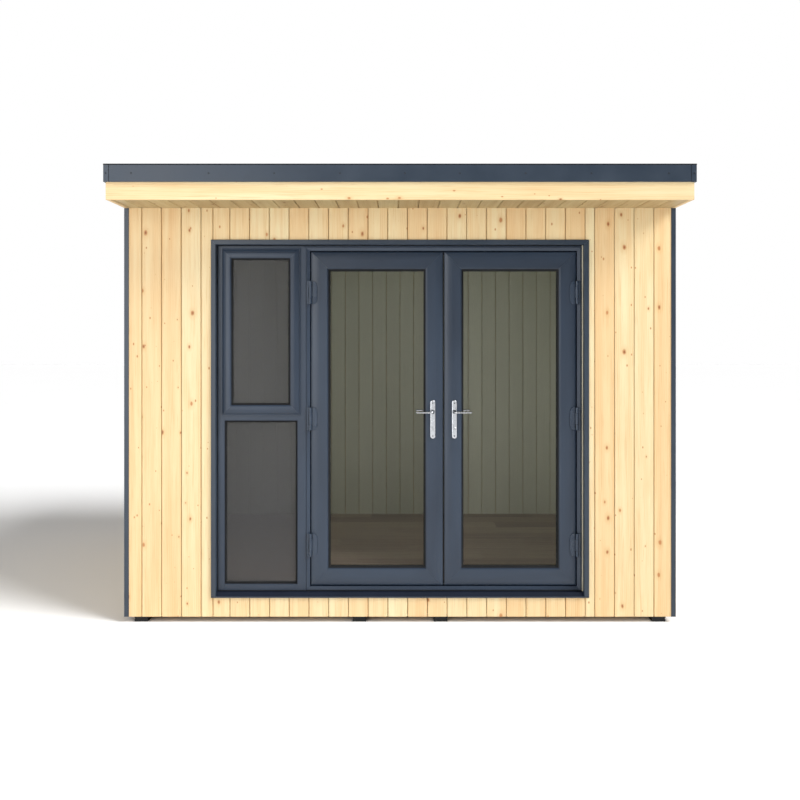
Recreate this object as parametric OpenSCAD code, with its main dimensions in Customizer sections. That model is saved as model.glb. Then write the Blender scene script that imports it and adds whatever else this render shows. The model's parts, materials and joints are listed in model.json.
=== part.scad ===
// Garden office pod: an insulated timber room with a flat roof, a pair of glazed
// doors that open outwards and a narrow window beside them.
// The origin is the middle of the footprint at ground level, +X to the right,
// +Y from the glazed front towards the back and +Z up. Sizes are in millimetres.

/* [Building] */
// Width over the corner trims
body_w = 3050; // [2500:10:4800]
// Depth over the corner trims
body_d = 2440; // [1600:10:3600]
// Height of the soffit and of the ceiling's face above the ground
eaves_z = 2291; // [2200:1:2800]

/* [Base] */
// Width of a bearer
bearer_w = 76; // [60:1:120]
// Height of a bearer
bearer_h = 44; // [38:1:100]
// Outer bearers' middle, from the side of the building
bearer_inset = 90; // [70:1:250]
// Inner bearers' middle, from the middle of the building
bearer_x = 225; // [100:1:500]
// Thickness of the insulated floor panel
floor_t = 85; // [60:1:150]
// Thickness of the laminate floor
flooring_t = 12; // [8:1:20]

/* [Walls] */
// Thickness of the outside boards
cladding_t = 16; // [12:1:25]
// Bottom edge of the outside boards above the ground
cladding_z = 32; // [20:1:36]
// Thickness of the insulated wall panel
core_t = 74; // [60:1:120]
// Thickness of the inside boards
lining_t = 10; // [6:1:18]
// Width of each leg of a corner trim
corner_leg = 26; // [20:1:60]
// Thickness of a corner trim
corner_t = 3; // [2:0.5:5]

/* [Roof] */
// Roof's reach in front of the corner trims
overhang = 320; // [60:1:600]
// Drop of the roof from front to back
fall = 50; // [20:1:80]
// Height of the roof's front edge, from the soffit to the top of the metal trim
roof_h = 186; // [170:1:260]
// Thickness of the soffit and ceiling boards
soffit_t = 12; // [8:1:20]
// Thickness of the roof covering
covering_t = 2; // [1:0.5:4]
// Clearance under and over the roof covering
covering_fit = 0.2; // [0.1:0.1:1]
// Height of the metal roof trim
trim_h = 94; // [60:1:100]
// Metal trim's reach outside the fascia
trim_proud = 12; // [6:1:30]
// Thickness of the metal trim
trim_t = 2; // [1:0.5:3]
// Width of the trim's flange that laps over the roof covering
trim_flange = 60; // [30:1:120]
// Length of the side trims' wrap onto the front and back
trim_wrap = 30; // [20:1:100]

/* [Door and window frame] */
// Width of the outer frame
frame_w = 2056; // [1800:1:2500]
// Height of the outer frame, from the floor panel
frame_h = 1971; // [1850:1:2010]
// Depth of the outer frame
frame_t = 70; // [66:1:80]
// Width of the frame's head and of its jamb beside the doors
jamb = 43; // [36:1:60]
// Height of the frame's sill under the doors
sill = 62; // [50:1:80]
// Height of the transom between the two lights of the side window
transom = 43; // [38:1:70]
// Width of the mullion between the window and the doors
mullion = 68; // [60:1:100]

/* [Surround] */
// Width of the surround's face
surround_w = 28; // [24:1:60]
// Surround's reach in front of the outside boards
surround_proud = 12; // [6:1:25]
// Surround's lap over the frame at the sides and the top
surround_lap = 12; // [8:1:20]
// Surround's lap over the frame's sill
surround_sill = 37; // [26:1:45]

/* [Side window] */
// Width of the window's lights
light_w = 410; // [300:1:560]
// Frame's width beside the lights
light_jamb = 50; // [40:1:80]
// Frame's height under the lower light
light_sill = 73; // [60:1:100]
// Height of the lower, fixed light
light_h = 914; // [500:1:1200]
// Width of the bevel that holds the fixed pane
bevel = 9; // [6:1:20]
// Sash's lap over the frame
sash_lap = 16; // [10:1:18]
// Sash's reach in front of the frame
sash_proud = 16; // [10:1:18]
// Width of the sash's face
sash_face = 64; // [56:1:80]
// Depth of the sash
sash_t = 60; // [56:1:62]

/* [Doors] */
// Thickness of a door leaf
leaf_t = 50; // [44:1:52]
// Width of a leaf's stiles and rails
leaf_face = 103; // [90:1:140]
// Bevel of a leaf's edges towards the inside, which clears the other leaf as it swings
edge_bevel = 3; // [1:0.5:4]
// Gap round a leaf and behind it
door_gap = 5; // [5:0.5:8]
// Gap between the two leaves
meeting_gap = 8; // [8:0.5:12]
// Frame stop's lap behind a leaf
stop_lap = 12; // [8:1:20]

/* [Glass] */
// Thickness of a sealed double-glazed unit
glass_t = 24; // [20:1:28]
// Depth of a unit's edge in its groove
glass_bite = 12; // [8:1:14]
// Clearance round a unit in its groove
glass_fit = 0.3; // [0.1:0.1:1]

/* [Hinges] */
// Height of a hinge
hinge_h = 127; // [90:1:160]
// Width of the wing on the leaf, from the pin
hinge_wing = 38; // [30:1:60]
// Width of the fixed half, from the pin
hinge_fixed = 21; // [16:1:28]
// Thickness of a hinge plate
hinge_plate = 5; // [3:0.5:7]
// Pin's place in front of the leaf's face
hinge_out = 12; // [11:0.5:16]
// Radius of a hinge knuckle
knuckle_r = 8; // [6.5:0.5:9]
// Radius of the hinge pin
pin_r = 4; // [3:0.5:5]
// Running clearance round the pin
pin_fit = 0.3; // [0.2:0.05:0.5]
// Middle of the top and bottom hinges from the leaf's ends
hinge_end = 227; // [120:1:400]

/* [Handles] */
// Lever's axis from the leaf's meeting edge
backset = 56; // [40:1:70]
// Lever's axis from the leaf's bottom edge
lever_z = 966; // [700:1:1200]
// Width of a handle's backplate
plate_w = 28; // [24:1:40]
// Backplate's reach above the lever's axis
plate_up = 66; // [40:1:110]
// Backplate's reach below the lever's axis
plate_down = 149; // [110:1:160]
// Thickness of a backplate
plate_t = 8; // [5:1:12]
// Radius of the lever's neck
neck_r = 8; // [7:0.5:10]
// Clearance of the neck in its backplate
neck_fit = 0.3; // [0.2:0.1:1]
// Lever bar's middle in front of its backplate
lever_out = 42; // [35:1:60]
// Length of the lever from its axis
lever_l = 94; // [80:1:130]
// Radius of the lever's bar
lever_r = 5.5; // [5:0.5:8]
// Radius of the spindle
spindle_r = 4.5; // [4:0.5:6]
// Clearance of the spindle in the leaf
spindle_fit = 1; // [0.5:0.5:2]

/* [Hidden] */
$fn = 48;

// Overall sizes
roof_w = body_w + 2*trim_proud;
roof_d = overhang + body_d + 2*trim_proud;
roof_z = eaves_z + roof_h;

// The covering's and the roof boards' upper faces, below the top of the trim
covering_down = trim_t + covering_fit;
boards_down = covering_down + covering_t + covering_fit;

// Depths, from the front to the back
roof_y = -roof_d/2;
fascia_y = roof_y + trim_proud;
body_y = fascia_y + overhang;
clad_y = body_y + corner_t;
core_y = clad_y + cladding_t;
lining_y = core_y + core_t;
room_y = lining_y + lining_t;
body_back = body_y + body_d;
clad_back = body_back - corner_t;
core_back = clad_back - cladding_t;
lining_back = core_back - core_t;
room_back = lining_back - lining_t;

// A fascia board stands over the outside boards and the corner trims
fascia_t = corner_t + cladding_t;

// Half widths, from the outside to the room
body_x = body_w/2;
clad_x = body_x - corner_t;
core_x = clad_x - cladding_t;
lining_x = core_x - core_t;
room_x = lining_x - lining_t;

// Heights
floor_z = bearer_h + floor_t;
flooring_z = floor_z + flooring_t;
panel_z = eaves_z + soffit_t;

// Outer frame, its back flush with the inside boards
frame_back = room_y;
frame_y = frame_back - frame_t;
frame_set = frame_y - clad_y;
frame_x = frame_w/2;
frame_top = floor_z + frame_h;
door_x0 = -frame_x + light_jamb + light_w + mullion;
door_x1 = frame_x - jamb;
door_z0 = floor_z + sill;
door_z1 = frame_top - jamb;
stop_y = frame_y + leaf_t + door_gap;
stop = door_gap + stop_lap;
light_x0 = -frame_x + light_jamb;
light_x1 = light_x0 + light_w;
fixed_z0 = floor_z + light_sill;
fixed_z1 = fixed_z0 + light_h;
sash_z0 = fixed_z1 + transom;

// Surround
surround_x = frame_x - surround_lap;
surround_z0 = floor_z + surround_sill;
surround_z1 = frame_top - surround_lap;

// Sash, over its lap
sash_w = light_w + 2*sash_lap;
sash_h = door_z1 - sash_z0 + 2*sash_lap;
sash_gap = 4;
sash_back = frame_y - sash_proud + sash_t;

// Door leaves
leaf_w = (door_x1 - door_x0 - 2*door_gap - meeting_gap)/2;
leaf_h = door_z1 - door_z0 - 2*door_gap;
leaf_z = door_z0 + door_gap;
left_leaf_x = door_x0 + door_gap;
right_leaf_x = door_x1 - door_gap;

// Depth at which the bevel of a leaf's edges starts
bevel_start = 20;

// Glazing beads: depth of the slope, width with the lip, and where the groove starts
bead_in = 12;
bead_w = 30;
groove_y = bead_in + 1;

// Hinges
hinge_zs = [hinge_end, leaf_h/2, leaf_h - hinge_end];
knuckle_gap = 1;
fixed_knuckle = hinge_h/4;

// Cutting tools reach this far past what they cut
past = 1;

timber = [0.96, 0.85, 0.65];
soffit_timber = [0.78, 0.69, 0.50];
anthracite = [0.25, 0.30, 0.36];
panel_grey = [0.62, 0.62, 0.60];
lining_green = [0.52, 0.54, 0.46];
laminate = [0.45, 0.40, 0.36];
rubber_black = [0.12, 0.12, 0.13];
steel = [0.85, 0.87, 0.90];
pane = [0.45, 0.50, 0.52, 0.5];

// ---- Shared shapes ----

// A box between a low and a high value on each axis
module block(x, y, z) {
  translate([x[0], y[0], z[0]])
    cube([x[1] - x[0], y[1] - y[0], z[1] - z[0]]);
}

// Height of the trim's top at a depth y
function top_z(y) = roof_z - fall*(y - roof_y)/roof_d;

// An outline in depth and height, drawn out across the building
module across(x, points) {
  translate([x[0], 0, 0])
    rotate([90, 0, 90])
      linear_extrude(x[1] - x[0])
        polygon(points);
}

// A sheet that follows the roof's fall, its upper and lower faces given below the trim's top
module sloping_sheet(x, y, down) {
  across(x, [
    [y[0], top_z(y[0]) - down[1]], [y[1], top_z(y[1]) - down[1]],
    [y[1], top_z(y[1]) - down[0]], [y[0], top_z(y[0]) - down[0]]
  ]);
}

// A piece with a level underside and a top that follows the roof's fall
module under_roof(x, y, z) {
  across(x, [
    [y[0], z], [y[1], z],
    [y[1], top_z(y[1]) - boards_down], [y[0], top_z(y[0]) - boards_down]
  ]);
}

// One bar of a mitred ring along +X, its outer edge on the X axis.
// The outline's x is the reach inwards and its y the depth.
module mitred_bar(length, outline, face) {
  intersection() {
    rotate([90, 0, 90])
      linear_extrude(length)
        polygon([for (p = outline) [p[1], p[0]]]);
    rotate([90, 0, 0])
      translate([0, 0, -500])
        linear_extrude(1000)
          polygon([[0, 0], [length, 0], [length - face, face], [face, face]]);
  }
}

// Four bars mitred into a ring, its low corner at the origin
module mitred_ring(w, h, outline, face) {
  mitred_bar(w, outline, face);
  translate([w, 0, h])
    rotate([0, 180, 0])
      mitred_bar(w, outline, face);
  translate([w, 0, 0])
    rotate([0, -90, 0])
      mitred_bar(h, outline, face);
  translate([0, 0, h])
    rotate([0, 90, 0])
      mitred_bar(h, outline, face);
}

// A sealed unit whose edges reach into the groove round a visible opening
module glass_unit(x, y, z) {
  reach = glass_bite - glass_fit;
  block([x[0] - reach, x[1] + reach], [y, y + glass_t], [z[0] - reach, z[1] + reach]);
}

// ---- Base ----

module floor_bearers() {
  color(rubber_black)
    for (x = [-body_x + bearer_inset, -bearer_x, bearer_x, body_x - bearer_inset])
      block([x - bearer_w/2, x + bearer_w/2], [core_y, core_back], [0, bearer_h]);
}

module floor_panel() {
  color(panel_grey)
    block([-core_x, core_x], [core_y, core_back], [bearer_h, floor_z]);
}

module laminate_floor() {
  color(laminate)
    block([-room_x, room_x], [room_y, room_back], [floor_z, flooring_z]);
}

// ---- Walls ----

// The front wall's panel at one side of the frame
module front_wall_side(side) {
  x = side < 0 ? [-core_x, -frame_x] : [frame_x, core_x];
  color(panel_grey)
    block(x, [core_y, lining_y], [floor_z, panel_z]);
}

module front_wall_left() {
  front_wall_side(-1);
}

module front_wall_right() {
  front_wall_side(1);
}

module front_wall_head() {
  color(panel_grey)
    block([-frame_x, frame_x], [core_y, lining_y], [frame_top, panel_z]);
}

module left_wall() {
  color(panel_grey)
    block([-core_x, -lining_x], [lining_y, lining_back], [floor_z, panel_z]);
}

module right_wall() {
  color(panel_grey)
    block([lining_x, core_x], [lining_y, lining_back], [floor_z, panel_z]);
}

module back_wall() {
  color(panel_grey)
    block([-core_x, core_x], [lining_back, core_back], [floor_z, panel_z]);
}

module front_cladding_left() {
  color(timber)
    block([-clad_x, -frame_x], [clad_y, core_y], [cladding_z, eaves_z]);
}

module front_cladding_right() {
  color(timber)
    block([frame_x, clad_x], [clad_y, core_y], [cladding_z, eaves_z]);
}

// The boards over and under the frame
module front_cladding_middle() {
  color(timber)
    for (z = [[frame_top, eaves_z], [cladding_z, surround_z0 - surround_lap]])
      block([-frame_x, frame_x], [clad_y, core_y], z);
}

module left_cladding() {
  color(timber)
    block([-clad_x, -core_x], [core_y, core_back], [cladding_z, eaves_z]);
}

module right_cladding() {
  color(timber)
    block([core_x, clad_x], [core_y, core_back], [cladding_z, eaves_z]);
}

module back_cladding() {
  color(timber)
    block([-clad_x, clad_x], [core_back, clad_back], [cladding_z, eaves_z]);
}

// The inside boards of the front wall, cut round the frame
module front_lining() {
  color(lining_green)
    difference() {
      block([-lining_x, lining_x], [lining_y, room_y], [floor_z, eaves_z]);
      block([-frame_x, frame_x], [lining_y - past, room_y + past], [floor_z - past, frame_top]);
    }
}

module side_linings() {
  color(lining_green)
    for (x = [[-lining_x, -room_x], [room_x, lining_x]])
      block(x, [room_y, room_back], [floor_z, eaves_z]);
}

module back_lining() {
  color(lining_green)
    block([-lining_x, lining_x], [room_back, lining_back], [floor_z, eaves_z]);
}

module ceiling() {
  color(lining_green)
    block([-lining_x, lining_x], [lining_y, lining_back], [eaves_z, panel_z]);
}

// One metal angle over the corner at the left of the front
module corner_trim() {
  color(anthracite)
    translate([-body_x, body_y, cladding_z])
      difference() {
        cube([corner_leg, corner_leg, eaves_z - cladding_z]);
        translate([corner_t, corner_t, -past])
          cube([corner_leg, corner_leg, eaves_z - cladding_z + 2*past]);
      }
}

module corner_trims() {
  middle_y = body_y + body_d/2;
  for (side = [0, 1])
    for (end = [0, 1])
      translate([0, middle_y, 0])
        mirror([0, end, 0])
          mirror([side, 0, 0])
            translate([0, -middle_y, 0])
              corner_trim();
}

// ---- Roof ----

module roof_panel() {
  color(panel_grey)
    under_roof([-body_x + fascia_t, body_x - fascia_t],
               [fascia_y + fascia_t, body_back - fascia_t], panel_z);
}

module roof_covering() {
  color(rubber_black)
    sloping_sheet([-body_x, body_x], [fascia_y, body_back],
                  [covering_down, covering_down + covering_t]);
}

// The boards under the overhang, which run in over the front boards' top
module soffit() {
  color(soffit_timber)
    block([-body_x + fascia_t, body_x - fascia_t], [fascia_y + fascia_t, core_y],
          [eaves_z, panel_z]);
}

module front_fascia() {
  color(timber)
    under_roof([-body_x, body_x], [fascia_y, fascia_y + fascia_t], eaves_z);
}

module back_fascia() {
  color(timber)
    under_roof([-body_x, body_x], [body_back - fascia_t, body_back], eaves_z);
}

module side_fascias() {
  color(timber)
    for (x = [[-body_x, -body_x + fascia_t], [body_x - fascia_t, body_x]])
      under_roof(x, [fascia_y + fascia_t, body_back - fascia_t], eaves_z);
}

// A folded trim between the side trims' wraps: skin, drip edge and flange in one outline
module end_trim(outer, dir) {
  inner = outer + dir*trim_t;
  seat = outer + dir*trim_proud;
  flange = outer + dir*trim_flange;
  top = top_z(outer);
  x = body_x + trim_proud - trim_wrap;
  across([-x, x], [
    [outer, top], [outer, top - trim_h], [seat, top - trim_h], [seat, top - trim_h + trim_t],
    [inner, top - trim_h + trim_t], [inner, top_z(inner) - trim_t],
    [flange, top_z(flange) - trim_t], [flange, top_z(flange)]
  ]);
}

module front_roof_trim() {
  color(anthracite)
    end_trim(roof_y, 1);
}

module back_roof_trim() {
  color(anthracite)
    end_trim(-roof_y, -1);
}

// The side trim follows the fall and wraps round both corners
module left_roof_trim() {
  x = -roof_w/2;
  wrap = x + trim_wrap;
  flange = x + trim_flange;
  color(anthracite) {
    // Skin, drip edge and flange down the side
    sloping_sheet([x, x + trim_t], [roof_y, -roof_y], [0, trim_h]);
    sloping_sheet([x, x + trim_proud], [roof_y, -roof_y], [trim_h - trim_t, trim_h]);
    sloping_sheet([x, flange], [roof_y + trim_flange, -roof_y - trim_flange], [0, trim_t]);
    sloping_sheet([x, wrap], [roof_y, -roof_y], [0, trim_t]);
    // Wraps round the front and back corners
    for (y = [[roof_y, roof_y + trim_t], [-roof_y - trim_t, -roof_y]])
      sloping_sheet([x, wrap], y, [0, trim_h]);
    for (y = [[roof_y, roof_y + trim_proud], [-roof_y - trim_proud, -roof_y]])
      sloping_sheet([x, wrap], y, [trim_h - trim_t, trim_h]);
  }
}

module right_roof_trim() {
  mirror([1, 0, 0])
    left_roof_trim();
}

// ---- Surround, frame and side window ----

// An angle round the opening: a face on the boards and a leg back to the frame
module surround() {
  w = 2*surround_x + 2*surround_w;
  h = surround_z1 - surround_z0 + 2*surround_w;
  leg = surround_w - surround_lap;
  outline = [
    [0, 0], [surround_w, 0], [surround_w, surround_proud + frame_set],
    [leg, surround_proud + frame_set], [leg, surround_proud], [0, surround_proud]
  ];
  color(anthracite)
    translate([-w/2, clad_y - surround_proud, surround_z0 - surround_w])
      mitred_ring(w, h, outline, surround_w);
}

// The bevelled rim that holds the fixed pane, in front of it and behind it
module fixed_bead() {
  outline = [
    [0, 2], [bevel, bead_in], [bevel, groove_y - glass_fit], [0, groove_y - glass_fit]
  ];
  back = frame_t - groove_y - glass_t - glass_fit;
  rear_outline = [
    [0, frame_t - back], [bevel, frame_t - back], [bevel, frame_t - back/2], [0, frame_t - 2]
  ];
  translate([light_x0, frame_y, fixed_z0]) {
    mitred_ring(light_w, light_h, outline, bevel);
    mitred_ring(light_w, light_h, rear_outline, bevel);
  }
}

module door_frame() {
  front = frame_y - past;
  back = frame_back + past;
  groove = glass_bite - bevel;
  rest = sash_lap/2;
  color(anthracite) {
    difference() {
      block([-frame_x, frame_x], [frame_y, frame_back], [floor_z, frame_top]);
      // Doorway, with a stop behind the leaves
      block([door_x0, door_x1], [front, stop_y], [door_z0, door_z1]);
      block([door_x0 + stop, door_x1 - stop], [front, back], [door_z0 + stop, door_z1 - stop]);
      // Upper light, with a stop behind the sash
      block([light_x0, light_x1], [front, sash_back + door_gap], [sash_z0, door_z1]);
      block([light_x0 + rest, light_x1 - rest], [front, back], [sash_z0 + rest, door_z1 - rest]);
      // Lower light and the groove for its pane
      block([light_x0, light_x1], [front, back], [fixed_z0, fixed_z1]);
      block([light_x0 - groove, light_x1 + groove],
            [frame_y + groove_y - glass_fit, frame_y + groove_y + glass_t + glass_fit],
            [fixed_z0 - groove, fixed_z1 + groove]);
    }
    fixed_bead();
  }
}

module window_sash() {
  lip = sash_lap + sash_gap;
  groove = sash_face - glass_bite;
  outline = [
    [0, 0], [sash_face - bead_w + 8, 0], [sash_face - bead_w + 12, 4],
    [sash_face, bead_in], [sash_face, groove_y - glass_fit], [groove, groove_y - glass_fit],
    [groove, groove_y + glass_t + glass_fit], [sash_face, groove_y + glass_t + glass_fit],
    [sash_face - 4, sash_t], [lip, sash_t], [lip, sash_proud], [0, sash_proud]
  ];
  color(anthracite)
    translate([light_x0 - sash_lap, frame_y - sash_proud, sash_z0 - sash_lap])
      mitred_ring(sash_w, sash_h, outline, sash_face);
}

// The fixed pane below and the sash's pane above
module window_glass() {
  color(pane) {
    glass_unit([light_x0 + bevel, light_x1 - bevel], frame_y + groove_y,
               [fixed_z0 + bevel, fixed_z1 - bevel]);
    inset = sash_face - sash_lap;
    glass_unit([light_x0 + inset, light_x1 - inset], frame_y - sash_proud + groove_y,
               [sash_z0 + inset, door_z1 - inset]);
  }
}

// ---- Door leaves ----
// A leaf is drawn with its hinge edge at x = 0, its outside face at y = 0 and its
// bottom edge at z = 0. The right leaf is the left one mirrored.

module place_left() {
  translate([left_leaf_x, frame_y, leaf_z])
    children();
}

module place_right() {
  translate([right_leaf_x, frame_y, leaf_z])
    mirror([1, 0, 0])
      children();
}

// The leaf's ring of stiles and rails, with a groove for its pane
module leaf_ring() {
  groove = leaf_face - glass_bite;
  outline = [
    [0, 0], [leaf_face - bead_w, 0], [leaf_face - bead_w + 4, 4],
    [leaf_face, bead_in], [leaf_face, groove_y - glass_fit], [groove, groove_y - glass_fit],
    [groove, groove_y + glass_t + glass_fit], [leaf_face, groove_y + glass_t + glass_fit],
    [leaf_face - bead_w/2, leaf_t], [edge_bevel, leaf_t], [0, bevel_start]
  ];
  color(anthracite)
    difference() {
      mitred_ring(leaf_w, leaf_h, outline, leaf_face);
      translate([leaf_w - backset, -past, lever_z])
        rotate([-90, 0, 0])
          cylinder(r = spindle_r + spindle_fit, h = leaf_t + 2*past);
    }
}

module leaf_glass() {
  color(pane)
    glass_unit([leaf_face, leaf_w - leaf_face], groove_y, [leaf_face, leaf_h - leaf_face]);
}

// The plates on both faces of the leaf, each with a bore for the lever's neck
module backplates() {
  color(steel)
    for (y = [-plate_t, leaf_t])
      translate([leaf_w - backset, y, lever_z])
        rotate([-90, 0, 0])
          difference() {
            union() {
              translate([-plate_w/2, plate_w/2 - plate_up, 0])
                cube([plate_w, plate_up + plate_down - plate_w, plate_t]);
              for (end = [plate_w/2 - plate_up, plate_down - plate_w/2])
                translate([0, end, 0])
                  cylinder(d = plate_w, h = plate_t);
            }
            translate([0, 0, -past])
              cylinder(r = neck_r + neck_fit, h = plate_t + 2*past);
          }
}

// The two levers and the spindle that joins them
module lever() {
  reach = plate_t + lever_out;
  color(steel)
    translate([leaf_w - backset, 0, lever_z])
      rotate([-90, 0, 0]) {
        translate([0, 0, -past])
          cylinder(r = spindle_r, h = leaf_t + 2*past);
        for (side = [-reach, leaf_t + neck_fit])
          translate([0, 0, side])
            cylinder(r = neck_r, h = reach - neck_fit);
        for (z = [-reach, leaf_t + reach])
          translate([0, 0, z]) {
            sphere(r = neck_r);
            rotate([0, -90, 0])
              cylinder(r = lever_r, h = lever_l - lever_r);
            translate([lever_r - lever_l, 0, 0])
              sphere(r = lever_r);
          }
      }
}

// ---- Hinges ----
// A hinge is drawn about its pin, with the leaf's and frame's faces at y = hinge_out

module at_hinges() {
  for (z = hinge_zs)
    translate([-door_gap/2, -hinge_out, z - hinge_h/2])
      children();
}

// The wing's plate, its outer corners rounded, which starts clear of the knuckles
module wing_plate() {
  corner = hinge_wing/2;
  edge = knuckle_r + knuckle_gap;
  translate([0, hinge_out - hinge_plate, 0])
    intersection() {
      union() {
        cube([hinge_wing - corner, hinge_plate, hinge_h]);
        translate([0, 0, corner])
          cube([hinge_wing, hinge_plate, hinge_h - 2*corner]);
        for (z = [corner, hinge_h - corner])
          translate([hinge_wing - corner, 0, z])
            rotate([-90, 0, 0])
              cylinder(r = corner, h = hinge_plate);
      }
      translate([edge, 0, 0])
        cube([hinge_wing, hinge_plate, hinge_h]);
    }
}

// The leaf's wing: its plate and the middle knuckle
module hinge_wing_half() {
  edge = knuckle_r + knuckle_gap;
  low = fixed_knuckle + knuckle_gap;
  height = hinge_h - 2*low;
  color(anthracite)
    difference() {
      union() {
        wing_plate();
        translate([0, 0, low])
          cube([edge + past, hinge_out, height]);
        translate([0, 0, low])
          cylinder(r = knuckle_r, h = height);
      }
      translate([0, 0, -past])
        cylinder(r = pin_r + pin_fit, h = hinge_h + 2*past);
    }
}

// The fixed half: a strip on the frame, two knuckles and the pin
module hinge_fixed_half() {
  edge = knuckle_r + knuckle_gap;
  color(anthracite) {
    translate([-hinge_fixed, hinge_out - hinge_plate, 0])
      cube([hinge_fixed - edge, hinge_plate, hinge_h]);
    for (z = [0, hinge_h - fixed_knuckle])
      translate([0, 0, z]) {
        cylinder(r = knuckle_r, h = fixed_knuckle);
        translate([-edge - past, 0, 0])
          cube([edge + past, hinge_out, fixed_knuckle]);
      }
    cylinder(r = pin_r, h = hinge_h);
  }
}

module fixed_hinge_halves() {
  place_left()
    at_hinges()
      hinge_fixed_half();
  place_right()
    at_hinges()
      hinge_fixed_half();
}

// ---- The doors' nodes ----

module left_leaf() {
  place_left()
    leaf_ring();
}

module left_leaf_glass() {
  place_left()
    leaf_glass();
}

module left_hinge_wings() {
  place_left()
    at_hinges()
      hinge_wing_half();
}

module left_backplates() {
  place_left()
    backplates();
}

module left_lever() {
  place_left()
    lever();
}

module right_leaf() {
  place_right()
    leaf_ring();
}

module right_leaf_glass() {
  place_right()
    leaf_glass();
}

module right_hinge_wings() {
  place_right()
    at_hinges()
      hinge_wing_half();
}

module right_backplates() {
  place_right()
    backplates();
}

module right_lever() {
  place_right()
    lever();
}

floor_bearers();
floor_panel();
laminate_floor();
front_wall_left();
front_wall_right();
front_wall_head();
left_wall();
right_wall();
back_wall();
front_cladding_left();
front_cladding_right();
front_cladding_middle();
left_cladding();
right_cladding();
back_cladding();
front_lining();
side_linings();
back_lining();
ceiling();
corner_trims();
roof_panel();
roof_covering();
soffit();
front_fascia();
side_fascias();
back_fascia();
front_roof_trim();
left_roof_trim();
right_roof_trim();
back_roof_trim();
surround();
door_frame();
window_sash();
window_glass();
fixed_hinge_halves();
left_leaf();
left_leaf_glass();
left_hinge_wings();
left_backplates();
left_lever();
right_leaf();
right_leaf_glass();
right_hinge_wings();
right_backplates();
right_lever();
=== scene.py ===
"""Looks of the garden office pod: boards, glazed doors, fittings, materials, light and camera.

Lengths are in metres in the model's own frame: +X right, +Y from the doors to the back, +Z up.
"""
import json
import math
import random

import bpy
import bmesh
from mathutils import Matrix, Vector

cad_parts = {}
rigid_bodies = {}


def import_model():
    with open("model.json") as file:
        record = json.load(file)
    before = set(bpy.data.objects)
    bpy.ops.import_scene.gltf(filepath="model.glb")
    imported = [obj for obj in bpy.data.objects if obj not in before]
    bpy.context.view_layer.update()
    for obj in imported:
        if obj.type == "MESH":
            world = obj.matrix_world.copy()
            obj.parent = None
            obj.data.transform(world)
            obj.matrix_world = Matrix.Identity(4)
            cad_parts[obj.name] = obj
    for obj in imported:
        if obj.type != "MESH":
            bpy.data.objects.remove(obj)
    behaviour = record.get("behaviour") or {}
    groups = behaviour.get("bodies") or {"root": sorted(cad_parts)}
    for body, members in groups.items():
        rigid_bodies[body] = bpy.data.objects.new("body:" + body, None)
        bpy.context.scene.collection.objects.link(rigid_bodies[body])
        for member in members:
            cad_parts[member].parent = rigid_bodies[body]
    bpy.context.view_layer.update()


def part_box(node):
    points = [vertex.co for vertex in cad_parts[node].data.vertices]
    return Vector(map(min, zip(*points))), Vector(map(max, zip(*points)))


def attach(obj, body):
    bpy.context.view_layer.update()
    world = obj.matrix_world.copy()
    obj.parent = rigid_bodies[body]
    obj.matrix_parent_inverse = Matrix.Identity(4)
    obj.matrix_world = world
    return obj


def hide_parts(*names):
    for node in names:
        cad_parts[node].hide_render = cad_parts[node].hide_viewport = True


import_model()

NODES = {o.name: o for o in bpy.data.objects}
BODY = "pod"
X, Y, Z = Vector((1, 0, 0)), Vector((0, 1, 0)), Vector((0, 0, 1))

# Places taken from the model
CLAD_LEFT, CLAD_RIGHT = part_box("front_cladding_left"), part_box("front_cladding_right")
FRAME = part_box("door_frame")
CLAD_Y = CLAD_LEFT[0].y
CLAD_X = CLAD_RIGHT[1].x
CLAD_T = CLAD_LEFT[1].y - CLAD_LEFT[0].y
CLAD_Z = CLAD_LEFT[0].z
EAVES_Z = CLAD_LEFT[1].z
FACE_Y = FRAME[0].y

# Sizes of the boards and their grooves
BOARD = 0.1092
GROOVE = 0.0034
GROOVE_DEPTH = 0.0040
BOARD_GAP = 0.0028
PANEL_JOINTS = (-1.035, 1.077)
LINING_BOARD = 0.110
FIRST_BOARD = -1.4285
FLOOR_BOARD_WIDTH, FLOOR_BOARD_LENGTH = 0.192, 1.285

# Sizes of the metalwork and profiles
SURROUND_FACE = 0.028
LEAF_FACE = 0.103
PANE_SET = 0.013
WORLD_LEFT, WORLD_RIGHT, WORLD_BEHIND = 0.42, 0.10, 0.34


# ---- Meshes ----

def rectangle(across, deep):
    return [(0, 0), (across, 0), (across, deep), (0, deep)]


def rounded(outline, radius, steps=3):
    """A closed outline with its corners rounded, each by at most a third of its shorter side."""
    points = [Vector(p) for p in outline]
    result = []
    for i, p in enumerate(points):
        before, after = points[i - 1] - p, points[(i + 1) % len(points)] - p
        angle = before.angle(after)
        if angle > math.radians(178):
            result.append(tuple(p))
            continue
        reach = min(radius / math.tan(angle / 2), before.length / 3, after.length / 3)
        r = reach * math.tan(angle / 2)
        middle = (before.normalized() + after.normalized()).normalized()
        centre = p + middle * (r / math.sin(angle / 2))
        start = p + before.normalized() * reach - centre
        end = p + after.normalized() * reach - centre
        turn = start.angle_signed(end)
        for k in range(steps + 1):
            a = -turn * k / steps
            c, s = math.cos(a), math.sin(a)
            result.append((centre.x + start.x * c - start.y * s,
                           centre.y + start.x * s + start.y * c))
    return result


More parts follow.
